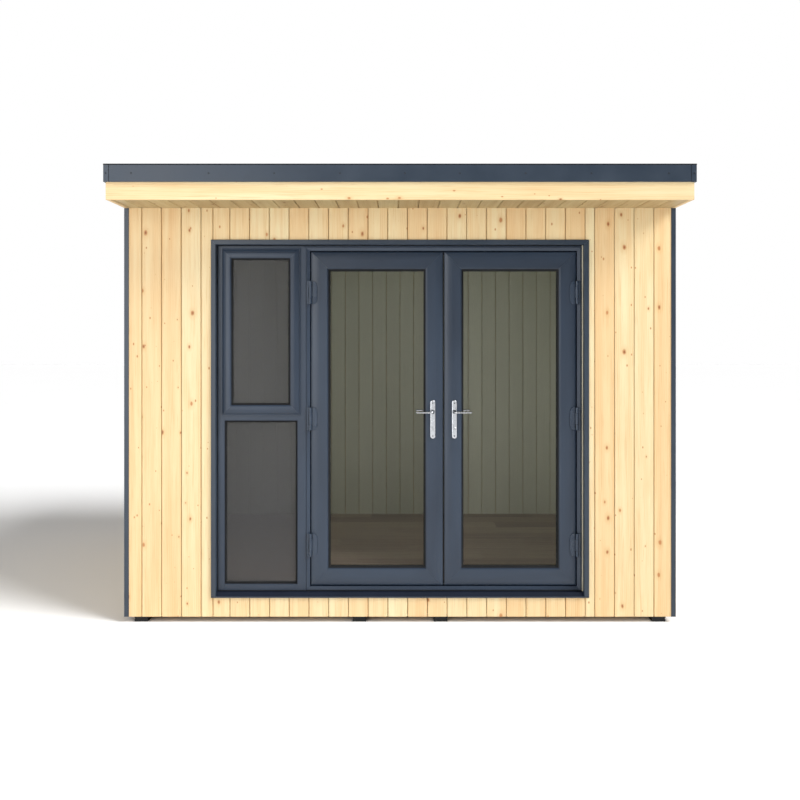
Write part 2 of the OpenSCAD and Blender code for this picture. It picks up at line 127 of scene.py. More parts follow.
class Piece:
    """Gathers solids with their grain directions, and makes one object of them."""

    def __init__(self, seed=0):
        self.verts, self.faces, self.grain, self.tone = [], [], [], []
        self.random = random.Random(seed)

    def new_board(self):
        """A fresh place in the wood's noise and a tone, for the next solid."""
        r = self.random
        return Vector((r.uniform(0, 40), r.uniform(0, 40), r.uniform(0, 40))), r.random()

    def bar(self, outline, origin, across, depth, along, length, mitres=(0, 0), board=None):
        """A straight bar. The outline's first value runs across and its second in depth.
        mitres say how far each end leans for each unit across."""
        offset, tone = board or self.new_board()
        base, n = len(self.verts), len(outline)
        for end in (0, 1):
            for a, b in outline:
                s = mitres[0] * a if end == 0 else length - mitres[1] * a
                self.verts.append(origin + across * a + depth * b + along * s)
                self.grain.append(offset + Vector((a, b, s)))
                self.tone.append(tone)
        self.faces.append(list(range(base, base + n)))
        self.faces.append(list(range(base + n, base + 2 * n)))
        for i in range(n):
            j = (i + 1) % n
            self.faces.append([base + i, base + j, base + n + j, base + n + i])

    def ring(self, outline, low, high, y, seam=0.0003):
        """Four bars mitred round a rectangle in X and Z, the outline's first value inwards
        from its edge and its second in depth behind y."""
        w, h = high[0] - low[0], high[1] - low[1]
        sides = [((low[0], low[1]), Z, X, w), ((high[0], high[1]), -Z, -X, w),
                 ((high[0], low[1]), -X, Z, h), ((low[0], high[1]), X, -Z, h)]
        for (x, z), across, along, length in sides:
            self.bar(outline, Vector((x, y, z)) + along * seam, across, Y, along,
                     length - 2 * seam, (1, 1))

    def block(self, low, high, radius=0.001, along=X):
        """A box with rounded long edges, its grain along one axis."""
        low, high = Vector(low), Vector(high)
        across = Z if along is not Z else X
        depth = Y if along is not Y else X
        size = high - low
        a, b = size.dot(across), size.dot(depth)
        self.bar(rounded(rectangle(a, b), radius), low, across, depth, along, size.dot(along))

    def loft(self, rings):
        """A closed skin over rings of points, with its grain where it stands."""
        base, n = len(self.verts), len(rings[0])
        offset, tone = self.new_board()
        for ring in rings:
            for v in ring:
                self.verts.append(v)
                self.grain.append(offset + v)
                self.tone.append(tone)
        for start in range(base, base + (len(rings) - 1) * n, n):
            for i in range(n):
                j = (i + 1) % n
                self.faces.append([start + i, start + j, start + n + j, start + n + i])
        for start in (base, base + (len(rings) - 1) * n):
            self.faces.append(list(range(start, start + n)))

    def lathe(self, profile, centre, axis, turn_from, steps=20):
        """A solid of revolution: profile pairs are (distance along the axis, radius)."""
        side = axis.cross(turn_from)
        angles = [2 * math.pi * k / steps for k in range(steps)]
        self.loft([[centre + axis * t + turn_from * (r * math.cos(a)) + side * (r * math.sin(a))
                    for a in angles] for t, r in profile])

    def join(self, other):
        """Takes in another piece's solids."""
        start = len(self.verts)
        self.verts += other.verts
        self.grain += other.grain
        self.tone += other.tone
        self.faces += [[start + i for i in face] for face in other.faces]

    def build(self, name, material, body=BODY, nodes=(), slot=None, bevel=0, smooth=35):
        """The object: normals outwards, soft over small angles, riding on its body."""
        mesh = bpy.data.meshes.new(name)
        mesh.from_pydata([tuple(v) for v in self.verts], [], self.faces)
        grain = mesh.attributes.new("grain", "FLOAT_VECTOR", "POINT")
        grain.data.foreach_set("vector", [c for g in self.grain for c in g])
        tone = mesh.attributes.new("tone", "FLOAT", "POINT")
        tone.data.foreach_set("value", self.tone)
        bm = bmesh.new()
        bm.from_mesh(mesh)
        bmesh.ops.recalc_face_normals(bm, faces=bm.faces)
        if bevel:
            sharp = [e for e in bm.edges if e.is_manifold
                     and e.calc_face_angle() > math.radians(40)]
            bmesh.ops.bevel(bm, geom=sharp, offset=bevel, segments=2, affect="EDGES",
                            clamp_overlap=True)
        bm.to_mesh(mesh)
        bm.free()
        mesh.shade_smooth()
        mesh.set_sharp_from_angle(angle=math.radians(smooth))
        mesh.materials.append(material)
        obj = bpy.data.objects.new(name, mesh)
        bpy.context.scene.collection.objects.link(obj)
        weigh_normals(obj)
        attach(obj, body)
        if nodes:
            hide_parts(*nodes)
        return obj


def weigh_normals(obj):
    """Shades broad faces flat and puts the softness into their narrow eased edges."""
    weighing = obj.modifiers.new("normals", "WEIGHTED_NORMAL")
    weighing.keep_sharp = True
    weighing.weight = 100
    graph = bpy.context.evaluated_depsgraph_get()
    mesh = bpy.data.meshes.new_from_object(obj.evaluated_get(graph), depsgraph=graph)
    obj.modifiers.clear()
    obj.data, old = mesh, obj.data
    bpy.data.meshes.remove(old)


# ---- Materials ----

class Shade:
    """A material with a principled shader, and short ways to add nodes to it."""

    def __init__(self, name, **sockets):
        self.material = bpy.data.materials.new(name)
        self.material.use_nodes = True
        self.tree = self.material.node_tree
        self.shader = self.tree.nodes["Principled BSDF"]
        for key, value in sockets.items():
            self.shader.inputs[key.replace("_", " ")].default_value = value

    def node(self, kind, settings=None, **inputs):
        node = self.tree.nodes.new("ShaderNode" + kind)
        for key, value in (settings or {}).items():
            setattr(node, key, value)
        for key, value in inputs.items():
            self.set(node.inputs[key.replace("_", " ")], value)
        return node

    def set(self, socket, value):
        if isinstance(value, bpy.types.NodeSocket):
            self.tree.links.new(value, socket)
        else:
            socket.default_value = value

    def attribute(self, name):
        node = self.node("Attribute", {"attribute_name": name})
        return node.outputs["Fac"] if name == "tone" else node.outputs["Vector"]

    def position(self):
        return self.node("TexCoord").outputs["Object"]

    def scaled(self, vector, scale):
        node = self.node("Mapping", Vector=vector)
        node.inputs["Scale"].default_value = scale
        return node.outputs["Vector"]

    def noise(self, vector, scale, detail=3.0, roughness=0.55, distortion=0.0):
        node = self.node("TexNoise", Vector=vector, Scale=scale, Detail=detail,
                         Roughness=roughness, Distortion=distortion)
        return node.outputs["Fac"]

    def math(self, operation, a, b=0.0, c=0.0, clamp=False):
        node = self.node("Math", {"operation": operation, "use_clamp": clamp})
        for socket, value in zip(node.inputs, (a, b, c)):
            self.set(socket, value)
        return node.outputs[0]

    def times(self, a, b):
        return self.math("MULTIPLY", a, b)

    def plus(self, a, b):
        return self.math("ADD", a, b)

    def remap(self, value, low, high, to_low=0.0, to_high=1.0):
        node = self.node("MapRange", Value=value)
        for key, v in (("From Min", low), ("From Max", high), ("To Min", to_low),
                       ("To Max", to_high)):
            node.inputs[key].default_value = v
        return node.outputs["Result"]

    def ramp(self, value, stops):
        node = self.node("ValToRGB", Fac=value)
        ramp = node.color_ramp
        while len(ramp.elements) < len(stops):
            ramp.elements.new(0.5)
        for element, (place, colour) in zip(ramp.elements, stops):
            element.position = place
            element.color = (*colour, 1)
        return node.outputs["Color"]

    def mix(self, factor, a, b, blend="MIX"):
        node = self.node("Mix", {"data_type": "RGBA", "blend_type": blend})
        self.set(node.inputs[0], factor)
        for socket, value in ((node.inputs[6], a), (node.inputs[7], b)):
            if not isinstance(value, bpy.types.NodeSocket):
                value = (*value, 1)
            self.set(socket, value)
        return node.outputs[2]

    def tint(self, colour, where, amount, other):
        return self.mix(self.times(where, amount), colour, other)

    def bump(self, height, distance, strength=1.0):
        node = self.node("Bump", Height=height, Strength=strength, Distance=distance)
        self.tree.links.new(node.outputs["Normal"], self.shader.inputs["Normal"])

    def finish(self, colour=None, roughness=None):
        if colour is not None:
            self.set(self.shader.inputs["Base Color"], colour)
        if roughness is not None:
            self.set(self.shader.inputs["Roughness"], roughness)
        return self.material


def srgb(r, g, b):
    """A display colour, 0 to 255, as linear light."""
    def one(v):
        v /= 255
        return v / 12.92 if v <= 0.04045 else ((v + 0.055) / 1.055) ** 2.4
    return one(r), one(g), one(b)


def softwood(name, pale, warm, peach, line, knot, heartwood):
    """Planed softwood: streaks and growth rings along the grain, and sparse small knots."""
    s = Shade(name)
    grain, tone = s.attribute("grain"), s.attribute("tone")
    drift = s.noise(s.scaled(grain, (3.0, 3.0, 0.7)), 1.6, 2.0)
    streaks = s.noise(s.scaled(grain, (24, 24, 0.9)), 1.0, 4.0, 0.6)
    fine = s.noise(s.scaled(grain, (420, 420, 9)), 1.0, 3.0, 0.6)
    flecks = s.noise(s.scaled(grain, (110, 110, 4.5)), 1.0, 3.0, 0.55)
    patches = s.noise(s.scaled(grain, (9, 9, 2.6)), 1.0, 2.0)

    # Knots are centres of stretched cells; only some cells have one
    split = s.node("SeparateXYZ", Vector=grain)
    flat = s.node("CombineXYZ", X=s.times(split.outputs["X"], 8.0),
                  Y=s.times(split.outputs["Z"], 5.0))
    cell = s.node("TexVoronoi", {"feature": "F1", "voronoi_dimensions": "2D"},
                  Vector=flat.outputs["Vector"], Scale=1.0, Randomness=0.9)
    chance = s.node("SeparateColor", Color=cell.outputs["Color"])
    size = s.remap(s.math("POWER", chance.outputs["Red"], 2.0), 0.06, 1.0, 0.0, 0.076)
    away = cell.outputs["Distance"]
    heart = s.math("DIVIDE", away, s.math("MAXIMUM", size, 0.003))
    wobble = s.noise(s.scaled(grain, (70, 70, 45)), 1.0, 2.0)
    heart = s.plus(heart, s.times(s.math("SUBTRACT", wobble, 0.5), 0.9))
    in_knot = s.remap(heart, 1.25, 0.60)
    core = s.times(s.remap(heart, 0.62, 0.20),
                   s.remap(chance.outputs["Green"], 0.4, 0.7))
    near_knot = s.remap(heart, 3.4, 0.8)

    # Pin knots and resin specks between them
    dots = s.node("CombineXYZ", X=s.times(split.outputs["X"], 20.0),
                  Y=s.times(split.outputs["Z"], 12.0))
    dot = s.node("TexVoronoi", {"feature": "F1", "voronoi_dimensions": "2D"},
                 Vector=dots.outputs["Vector"], Scale=1.0, Randomness=1.0)
    luck = s.node("SeparateColor", Color=dot.outputs["Color"])
    pin = s.remap(luck.outputs["Blue"], 0.78, 1.0, 0.0, 0.095)
    pin = s.remap(s.math("DIVIDE", dot.outputs["Distance"], s.math("MAXIMUM", pin, 0.002)),
                  1.3, 0.6)

    # Growth rings, bent round the knots
    bend = s.times(s.math("SUBTRACT", drift, 0.5), 0.05)
    bend = s.plus(bend, s.times(near_knot, 0.004))
    ring = s.times(s.plus(split.outputs["X"], bend), 620.0)
    ring = s.remap(s.math("SINE", ring), -0.2, 1.0)
    ring = s.times(ring, s.remap(streaks, 0.42, 0.62))

    colour = s.ramp(s.plus(s.times(streaks, 0.75),
                           s.times(tone, 0.32)),
                    [(0.30, pale), (0.55, warm), (0.78, peach)])
    colour = s.tint(colour, s.remap(patches, 0.52, 0.70), 0.40, peach)
    colour = s.tint(colour, s.remap(flecks, 0.56, 0.74), 0.42, line)
    colour = s.tint(colour, ring, 0.30, line)
    colour = s.tint(colour, s.remap(fine, 0.5, 0.78), 0.20, line)
    colour = s.tint(colour, near_knot, 0.35, line)
    colour = s.tint(colour, in_knot, 0.88, knot)
    colour = s.tint(colour, core, 0.75, heartwood)
    colour = s.tint(colour, pin, 0.85, knot)
    height = s.plus(s.times(fine, 0.6), s.times(ring, -0.4))
    s.bump(height, 0.0004, 0.5)
    return s.finish(colour, s.remap(streaks, 0.2, 0.8, 0.50, 0.64))


def painted_boards(name, light, dark, line):
    """Matt paint on boards, with brush lines along them."""
    s = Shade(name)
    grain, tone = s.attribute("grain"), s.attribute("tone")
    broad = s.noise(s.scaled(grain, (3, 3, 0.8)), 2.0, 3.0)
    brush = s.noise(s.scaled(grain, (260, 260, 6)), 1.0, 3.0)
    mixed = s.plus(s.times(broad, 0.6), s.times(tone, 0.35))
    colour = s.ramp(mixed, [(0.25, dark), (0.7, light)])
    colour = s.tint(colour, s.remap(brush, 0.5, 0.75), 0.25, line)
    s.bump(brush, 0.0003, 0.5)
    return s.finish(colour, s.remap(brush, 0.3, 0.7, 0.5, 0.68))


def laminate(name):
    """Brown grey wood-effect boards with a satin wear layer."""
    s = Shade(name, Coat_Weight=0.12, Coat_Roughness=0.3)
    grain, tone = s.attribute("grain"), s.attribute("tone")
    streaks = s.noise(s.scaled(grain, (34, 34, 1.1)), 1.0, 5.0, 0.62, 0.4)
    fine = s.noise(s.scaled(grain, (300, 300, 6)), 1.0, 3.0)
    mixed = s.plus(s.times(streaks, 0.8), s.times(tone, 0.3))
    colour = s.ramp(mixed, [(0.30, srgb(122, 104, 92)), (0.52, srgb(158, 138, 124)),
                            (0.80, srgb(186, 168, 152))])
    colour = s.tint(colour, s.remap(fine, 0.52, 0.7), 0.4, srgb(100, 84, 74))
    s.bump(fine, 0.0002, 0.5)
    return s.finish(colour, s.remap(streaks, 0.3, 0.7, 0.34, 0.46))


def foil(name, light, dark, rough):
    """Anthracite foil with a fine embossed woodgrain along each bar."""
    s = Shade(name, Specular_IOR_Level=0.5)
    grain = s.attribute("grain")
    emboss = s.noise(s.scaled(grain, (520, 520, 14)), 1.0, 4.0, 0.6)
    broad = s.noise(s.scaled(grain, (6, 6, 1.2)), 1.0, 3.0)
    colour = s.mix(s.remap(broad, 0.3, 0.7), dark, light)
    colour = s.tint(colour, s.remap(emboss, 0.55, 0.75), 0.35, dark)
    s.bump(emboss, 0.00025, 0.5)
    return s.finish(colour, s.remap(emboss, 0.35, 0.7, rough, rough + 0.12))


def coated_metal(name, light, dark, rough, metallic=0.0, sheen=0.5):
    """Powder-coated sheet: a fine orange peel, slight mottling and dusty patches."""
    s = Shade(name, Metallic=metallic, Specular_IOR_Level=sheen)
    place = s.position()
    peel = s.noise(place, 900.0, 2.0)
    mottle = s.noise(place, 7.0, 4.0)
    colour = s.mix(s.remap(mottle, 0.3, 0.7), dark, light)
    s.bump(peel, 0.00012, 0.4)
    return s.finish(colour, s.remap(mottle, 0.3, 0.7, rough, rough + 0.1))


def satin_chrome(name):
    """Bright satin plated metal with faint handling marks."""
    s = Shade(name, Metallic=1.0)
    place = s.position()
    marks = s.noise(s.scaled(place, (30, 30, 8)), 4.0, 4.0)
    lines = s.noise(s.scaled(place, (60, 60, 1800)), 1.0, 2.0)
    colour = s.mix(s.remap(marks, 0.3, 0.7), srgb(196, 199, 204), srgb(214, 217, 222))
    s.bump(lines, 0.00005, 0.3)
    return s.finish(colour, s.remap(marks, 0.3, 0.7, 0.20, 0.30))


def black_rubber(name, light, dark, scale=240.0):
    """Matt rubber or plastic with a fine texture and a little dust."""
    s = Shade(name, Specular_IOR_Level=0.25)
    place = s.position()
    speck = s.noise(place, scale, 3.0)
    dust = s.noise(place, 3.0, 5.0)
    colour = s.mix(s.remap(dust, 0.35, 0.75), dark, light)
    s.bump(speck, 0.0003, 0.4)
    return s.finish(colour, s.remap(speck, 0.3, 0.7, 0.62, 0.8))


def chip_board(name):
    """Pressed strand board: flakes of several browns."""
    s = Shade(name)
    place = s.position()
    flakes = s.node("TexVoronoi", {"feature": "F1"}, Vector=s.scaled(place, (1, 1, 0.35)),
                    Scale=38.0)
    pick = s.node("SeparateColor", Color=flakes.outputs["Color"])
    colour = s.ramp(pick.outputs["Red"], [(0.1, srgb(150, 116, 74)), (0.5, srgb(186, 152, 102)),
                                          (0.9, srgb(206, 178, 130))])
    s.bump(flakes.outputs["Distance"], 0.0008, 0.4)
    return s.finish(colour, s.remap(pick.outputs["Green"], 0.0, 1.0, 0.65, 0.85))


def window_pane(name, tint, alpha, sheen=0.5):
    """A thin pane: a tinted see-through sheet with a clear sheen."""
    s = Shade(name, IOR=1.5, Specular_IOR_Level=sheen)
    smear = s.noise(s.position(), 2.5, 4.0)
    s.shader.inputs["Alpha"].default_value = alpha
    colour = s.mix(s.remap(smear, 0.3, 0.7), tint, tuple(0.9 * c for c in tint))
    return s.finish(colour, s.remap(smear, 0.3, 0.7, 0.13, 0.18))


TIMBER = softwood("timber_boards", srgb(226, 211, 170), srgb(224, 199, 153),
                  srgb(221, 187, 138), srgb(198, 155, 101), srgb(178, 114, 62),
                  srgb(108, 60, 32))
# The soffit's timber is a darker copy of the boards' colours: painted shade under the eaves.
SHADED_SOFFIT_TIMBER = softwood("soffit_boards", srgb(190, 172, 128), srgb(182, 160, 116),
                  srgb(172, 147, 103), srgb(150, 119, 78), srgb(132, 86, 48),
                  srgb(84, 53, 29))
LINING = painted_boards("painted_lining", srgb(222, 224, 204), srgb(212, 214, 194),
                        srgb(190, 192, 172))
FLOORING = laminate("laminate_boards")
PROFILE = foil("anthracite_profile", srgb(44, 57, 74), srgb(33, 44, 59), 0.30)
METAL = coated_metal("anthracite_metal", srgb(45, 56, 69), srgb(38, 49, 62), 0.29)
# The hinges' anthracite is lighter than the trims': a painted highlight along their barrels.
HINGE_METAL_PAINTED_HIGHLIGHT = coated_metal("anthracite_hinge", srgb(50, 62, 78), srgb(42, 54, 70), 0.24)
# A darker copy of the anthracite for the sill: painted shade on its top.
SHADED_SILL_METAL = coated_metal("anthracite_sill", srgb(20, 28, 44), srgb(15, 22, 36), 0.60, sheen=0.15)
CHROME = satin_chrome("satin_chrome")
RUBBER = black_rubber("black_rubber", srgb(24, 25, 27), srgb(14, 15, 17))
# A pale strip for the right reveal, coloured like the timber: a painted reflection of the boards
# in it.
RIGHT_REVEAL_REFLECTION = black_rubber("pale_sealant", srgb(222, 214, 188), srgb(206, 198, 172))
BEARER = black_rubber("bearer_plastic", srgb(44, 45, 46), srgb(28, 29, 30), 120.0)
COVERING = black_rubber("roof_sheet", srgb(66, 68, 71), srgb(48, 50, 54), 60.0)
PANEL = chip_board("strand_board")
PANE = window_pane("pane", (0.055, 0.058, 0.05), 0.035)
# The side pane is a heavier grey than the door panes: painted shade of the dim room seen through
# it.
SIDE_PANE_PAINTED_SHADE = window_pane("side_pane", (0.082, 0.082, 0.085), 0.34, 0.15)
SCREW = coated_metal("dark_screw", srgb(52, 56, 62), srgb(38, 42, 48), 0.35, 0.5)
DARK_METAL = coated_metal("spacer_metal", srgb(60, 62, 64), srgb(48, 50, 52), 0.4, 0.6)


# ---- Timber boards outside ----

def board_outline(width, thick, left=True, right=True):
    """A board's section: its face at depth 0, a bevel at each grooved edge."""
    a0 = BOARD_GAP / 2 if left else 0.0
    a1 = width - (BOARD_GAP / 2 if right else 0.0)
    points = [(a0, GROOVE_DEPTH), (a0 + GROOVE, 0.0)] if left else [(a0, 0.0)]
    points += [(a1 - GROOVE, 0.0), (a1, GROOVE_DEPTH)] if right else [(a1, 0.0)]
    return points + [(a1, thick), (a0, thick)]


def seams(low, high, first, pitch):
    """Board edges from low to high, with one at first and the others a pitch apart."""
    count = range(math.ceil((low - first) / pitch), math.floor((high - first) / pitch) + 1)
    inner = [first + k * pitch for k in count]
    margin = 0.012
    return [low] + [x for x in inner if low + margin < x < high - margin] + [high]


def outer_boards(piece, edges, origin, across, depth, z, thick, opening=None):
    """Upright boards between edges. An opening (x0, x1, z0, z1) is cut from those it meets."""
    for x0, x1 in zip(edges, edges[1:]):
        board = piece.new_board()
        spans = [(x0, x1, z[0], z[1])]
        if opening and x1 > opening[0] and x0 < opening[1]:
            spans = [(x0, x1, z[0], opening[2]), (x0, x1, opening[3], z[1])]
            if x0 < opening[0]:
                spans.append((x0, opening[0], opening[2], opening[3]))
            if x1 > opening[1]:
                spans.append((opening[1], x1, opening[2], opening[3]))
        for a0, a1, z0, z1 in spans:
            outline = [(a + a0, b) for a, b in board_outline(a1 - a0, thick, a0 == x0, a1 == x1)]
            piece.bar(outline, origin + Z * z0, across, depth, Z, z1 - z0,
                      board=(board[0] + Vector((0, 0, z0)), board[1]))


def front_boards():
    opening = (CLAD_LEFT[1].x, CLAD_RIGHT[0].x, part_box("surround")[0].z + 0.016, FRAME[1].z)
    left, right = PANEL_JOINTS
    parts = [
        ("front_boards_left", seams(-CLAD_X, left, FIRST_BOARD, BOARD), "front_cladding_left"),
        ("front_boards_middle", seams(left, right, -0.941, BOARD), "front_cladding_middle"),
        ("front_boards_right", seams(right, CLAD_X, right, BOARD), "front_cladding_right"),
    ]
    for i, (name, edges, node) in enumerate(parts):
        piece = Piece(seed=20 + i)
        outer_boards(piece, edges, Vector((0, CLAD_Y, 0)), X, Y, (CLAD_Z, EAVES_Z), CLAD_T,
                     opening)
        piece.build(name, TIMBER, nodes=[node], slot="cladding")


def plain_walls():
    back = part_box("back_cladding")
    piece = Piece(seed=31)
    outer_boards(piece, seams(-CLAD_X, CLAD_X, 0.0, BOARD), Vector((0, back[1].y, 0)), X, -Y,
                 (CLAD_Z, EAVES_Z), CLAD_T)
    piece.build("back_boards", TIMBER, nodes=["back_cladding"], slot="cladding")
    for name, side in (("left", -1), ("right", 1)):
        low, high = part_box(name + "_cladding")
        piece = Piece(seed=33 + side)
        outer_boards(piece, seams(low.y, high.y, 0.0, BOARD), Vector((side * CLAD_X, 0, 0)),
                     Y, X * -side, (CLAD_Z, EAVES_Z), CLAD_T)
        piece.build(name + "_boards", TIMBER, nodes=[name + "_cladding"], slot="cladding")


def soffit_boards():
    low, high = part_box("soffit")
    piece = Piece(seed=41)
    edges = [low.x, -1.486] + seams(FIRST_BOARD, high.x, FIRST_BOARD, BOARD)
    for x0, x1 in zip(edges, edges[1:]):
        piece.bar(board_outline(x1 - x0, high.z - low.z), Vector((x0, low.y, low.z)), X, Z, Y,
                  high.y - low.y)
    # The soffit boards take the darker timber, which paints the shade under the eaves.
    piece.build("soffit_boards", SHADED_SOFFIT_TIMBER, nodes=["soffit"], slot="soffit")


def fascias():
    """Planed boards with eased edges; their tops follow the roof's fall."""
    ease = 0.0025
    for node, seed in (("front_fascia", 57), ("back_fascia", 52)):
        low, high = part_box(node)
        piece = Piece(seed=seed)
        outline = rounded(rectangle(high.z - low.z, high.y - low.y), ease)
        piece.bar(outline, low, Z, Y, X, high.x - low.x)
        piece.build(node + "_board", TIMBER, nodes=[node], slot="fascia")
    low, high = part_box("side_fascias")
    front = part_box("front_fascia")
    thick = front[1].y - front[0].y
    drop = front[1].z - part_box("back_fascia")[1].z
    for name, x in (("left", low.x), ("right", high.x - thick)):
        piece = Piece(seed=53 if name == "left" else 54)
        outline = rounded(rectangle(high.z - low.z, thick), ease)
        piece.bar(outline, Vector((x, low.y, low.z)), Z, X, Y, high.y - low.y)
        half = (high.z - low.z) / 2
        for i, v in enumerate(piece.verts):
            if v.z > low.z + half and v.y > (low.y + high.y) / 2:
                piece.verts[i] = v - Z * drop
        piece.build(name + "_fascia_board", TIMBER, nodes=["side_fascias"], slot="fascia")


# ---- Boards inside ----

def inner_boards(piece, edges, origin, across, depth, along, length, thick):
    """Boards between edges, side by side, all of one length."""
    for x0, x1 in zip(edges, edges[1:]):
        piece.bar(board_outline(x1 - x0, thick), origin + across * x0, across, depth, along,
                  length)


def linings():
    low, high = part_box("back_lining")
    thick = high.y - low.y
    height = high.z - low.z
    piece = Piece(seed=61)
    inner_boards(piece, seams(low.x, high.x, 0.0, LINING_BOARD), Vector((0, low.y, low.z)), X, Y,
                 Z, height, thick)
    piece.build("back_lining_boards", LINING, nodes=["back_lining"], slot="lining")

    low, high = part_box("side_linings")
    piece = Piece(seed=62)
    for x, depth in ((low.x + thick, -X), (high.x - thick, X)):
        inner_boards(piece, seams(low.y, high.y, 0.0, LINING_BOARD), Vector((x, 0, low.z)), Y,
                     depth, Z, height, thick)
    piece.build("side_lining_boards", LINING, nodes=["side_linings"], slot="lining")

    low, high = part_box("front_lining")
    piece = Piece(seed=63)
    left, right, head = FRAME[0].x, FRAME[1].x, FRAME[1].z
    edges = seams(low.x, high.x, 0.0, LINING_BOARD)
    for x0, x1 in zip(edges, edges[1:]):
        parts = [(x0, x1, low.z)]
        if x1 > left and x0 < right:
            parts = [(x0, x1, head)]
            if x0 < left:
                parts.append((x0, left, low.z))
            if x1 > right:
                parts.append((right, x1, low.z))
        for a0, a1, z0 in parts:
            top = head if z0 == low.z and len(parts) > 1 else high.z
            piece.bar(board_outline(a1 - a0, thick, a0 == x0, a1 == x1),
                      Vector((a0, high.y, z0)), X, -Y, Z, top - z0)
    piece.build("front_lining_boards", LINING, nodes=["front_lining"], slot="lining")

    low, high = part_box("ceiling")
    piece = Piece(seed=64)
    inner_boards(piece, seams(low.x, high.x, 0.0, LINING_BOARD), Vector((0, low.y, low.z)), X, Z,
                 Y, high.y - low.y, high.z - low.z)
    piece.build("ceiling_boards", LINING, nodes=["ceiling"], slot="lining")


def laminate_floor():
    low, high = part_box("laminate_floor")
    piece = Piece(seed=71)
    width, length = FLOOR_BOARD_WIDTH, FLOOR_BOARD_LENGTH
    stagger, gap = 0.37, 0.0002
    row, y = 0, low.y
    while y < high.y - 0.001:
        y1 = min(y + width, high.y)
        x = low.x - length * ((row * stagger) % 1.0)
        while x < high.x - 0.001:
            x0, x1 = max(x, low.x), min(x + length, high.x)
            if x1 - x0 > 0.002:
                piece.block((x0 + gap, y + gap, low.z), (x1 - gap, y1 - gap, high.z), 0.0006)
            x += length
        y, row = y1, row + 1
    piece.build("laminate_floor_boards", FLOORING, nodes=["laminate_floor"], slot="laminate")


# ---- Roof trims and corner trims ----

TRIM_IN = 0.0015
EDGE_STRIP = 0.0060
SEAM = 0.0036


def roof_fall():
    """Drop of the roof's top for each metre towards the back."""
    front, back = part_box("front_roof_trim"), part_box("back_roof_trim")
    return (front[1].z - back[1].z) / (back[1].y - front[0].y)


def screw(piece, centre, outward, radius=0.0048, height=0.0014):
    """A low domed screw head with a small recess."""
    turn = Z if abs(outward.z) < 0.5 else X
    profile = [(-0.001, radius), (height * 0.35, radius), (height * 0.8, radius * 0.82),
               (height, radius * 0.55), (height, radius * 0.36), (height * 0.3, radius * 0.30)]
    piece.lathe(profile, centre, outward, turn, 16)


def fold(piece, corners, thick, z_low, z_high):
    """A sheet standing on a plan line: corners are its outer points, thickness inwards."""
    outer = [Vector(c) for c in corners]
    inner = []
    for i, p in enumerate(outer):
        steps = []
        if i > 0:
            steps.append((p - outer[i - 1]).normalized())
        if i < len(outer) - 1:
            steps.append((outer[i + 1] - p).normalized())
        normal = sum((Vector((-d.y, d.x)) for d in steps), Vector((0, 0)))
        normal.normalize()
        first = Vector((-steps[0].y, steps[0].x))
        inner.append(p + normal * (thick / normal.dot(first)))
    outline = [tuple(p) for p in outer] + [tuple(p) for p in reversed(inner)]
    piece.bar(outline, Vector((0, 0, z_low)), X, Y, Z, z_high - z_low)


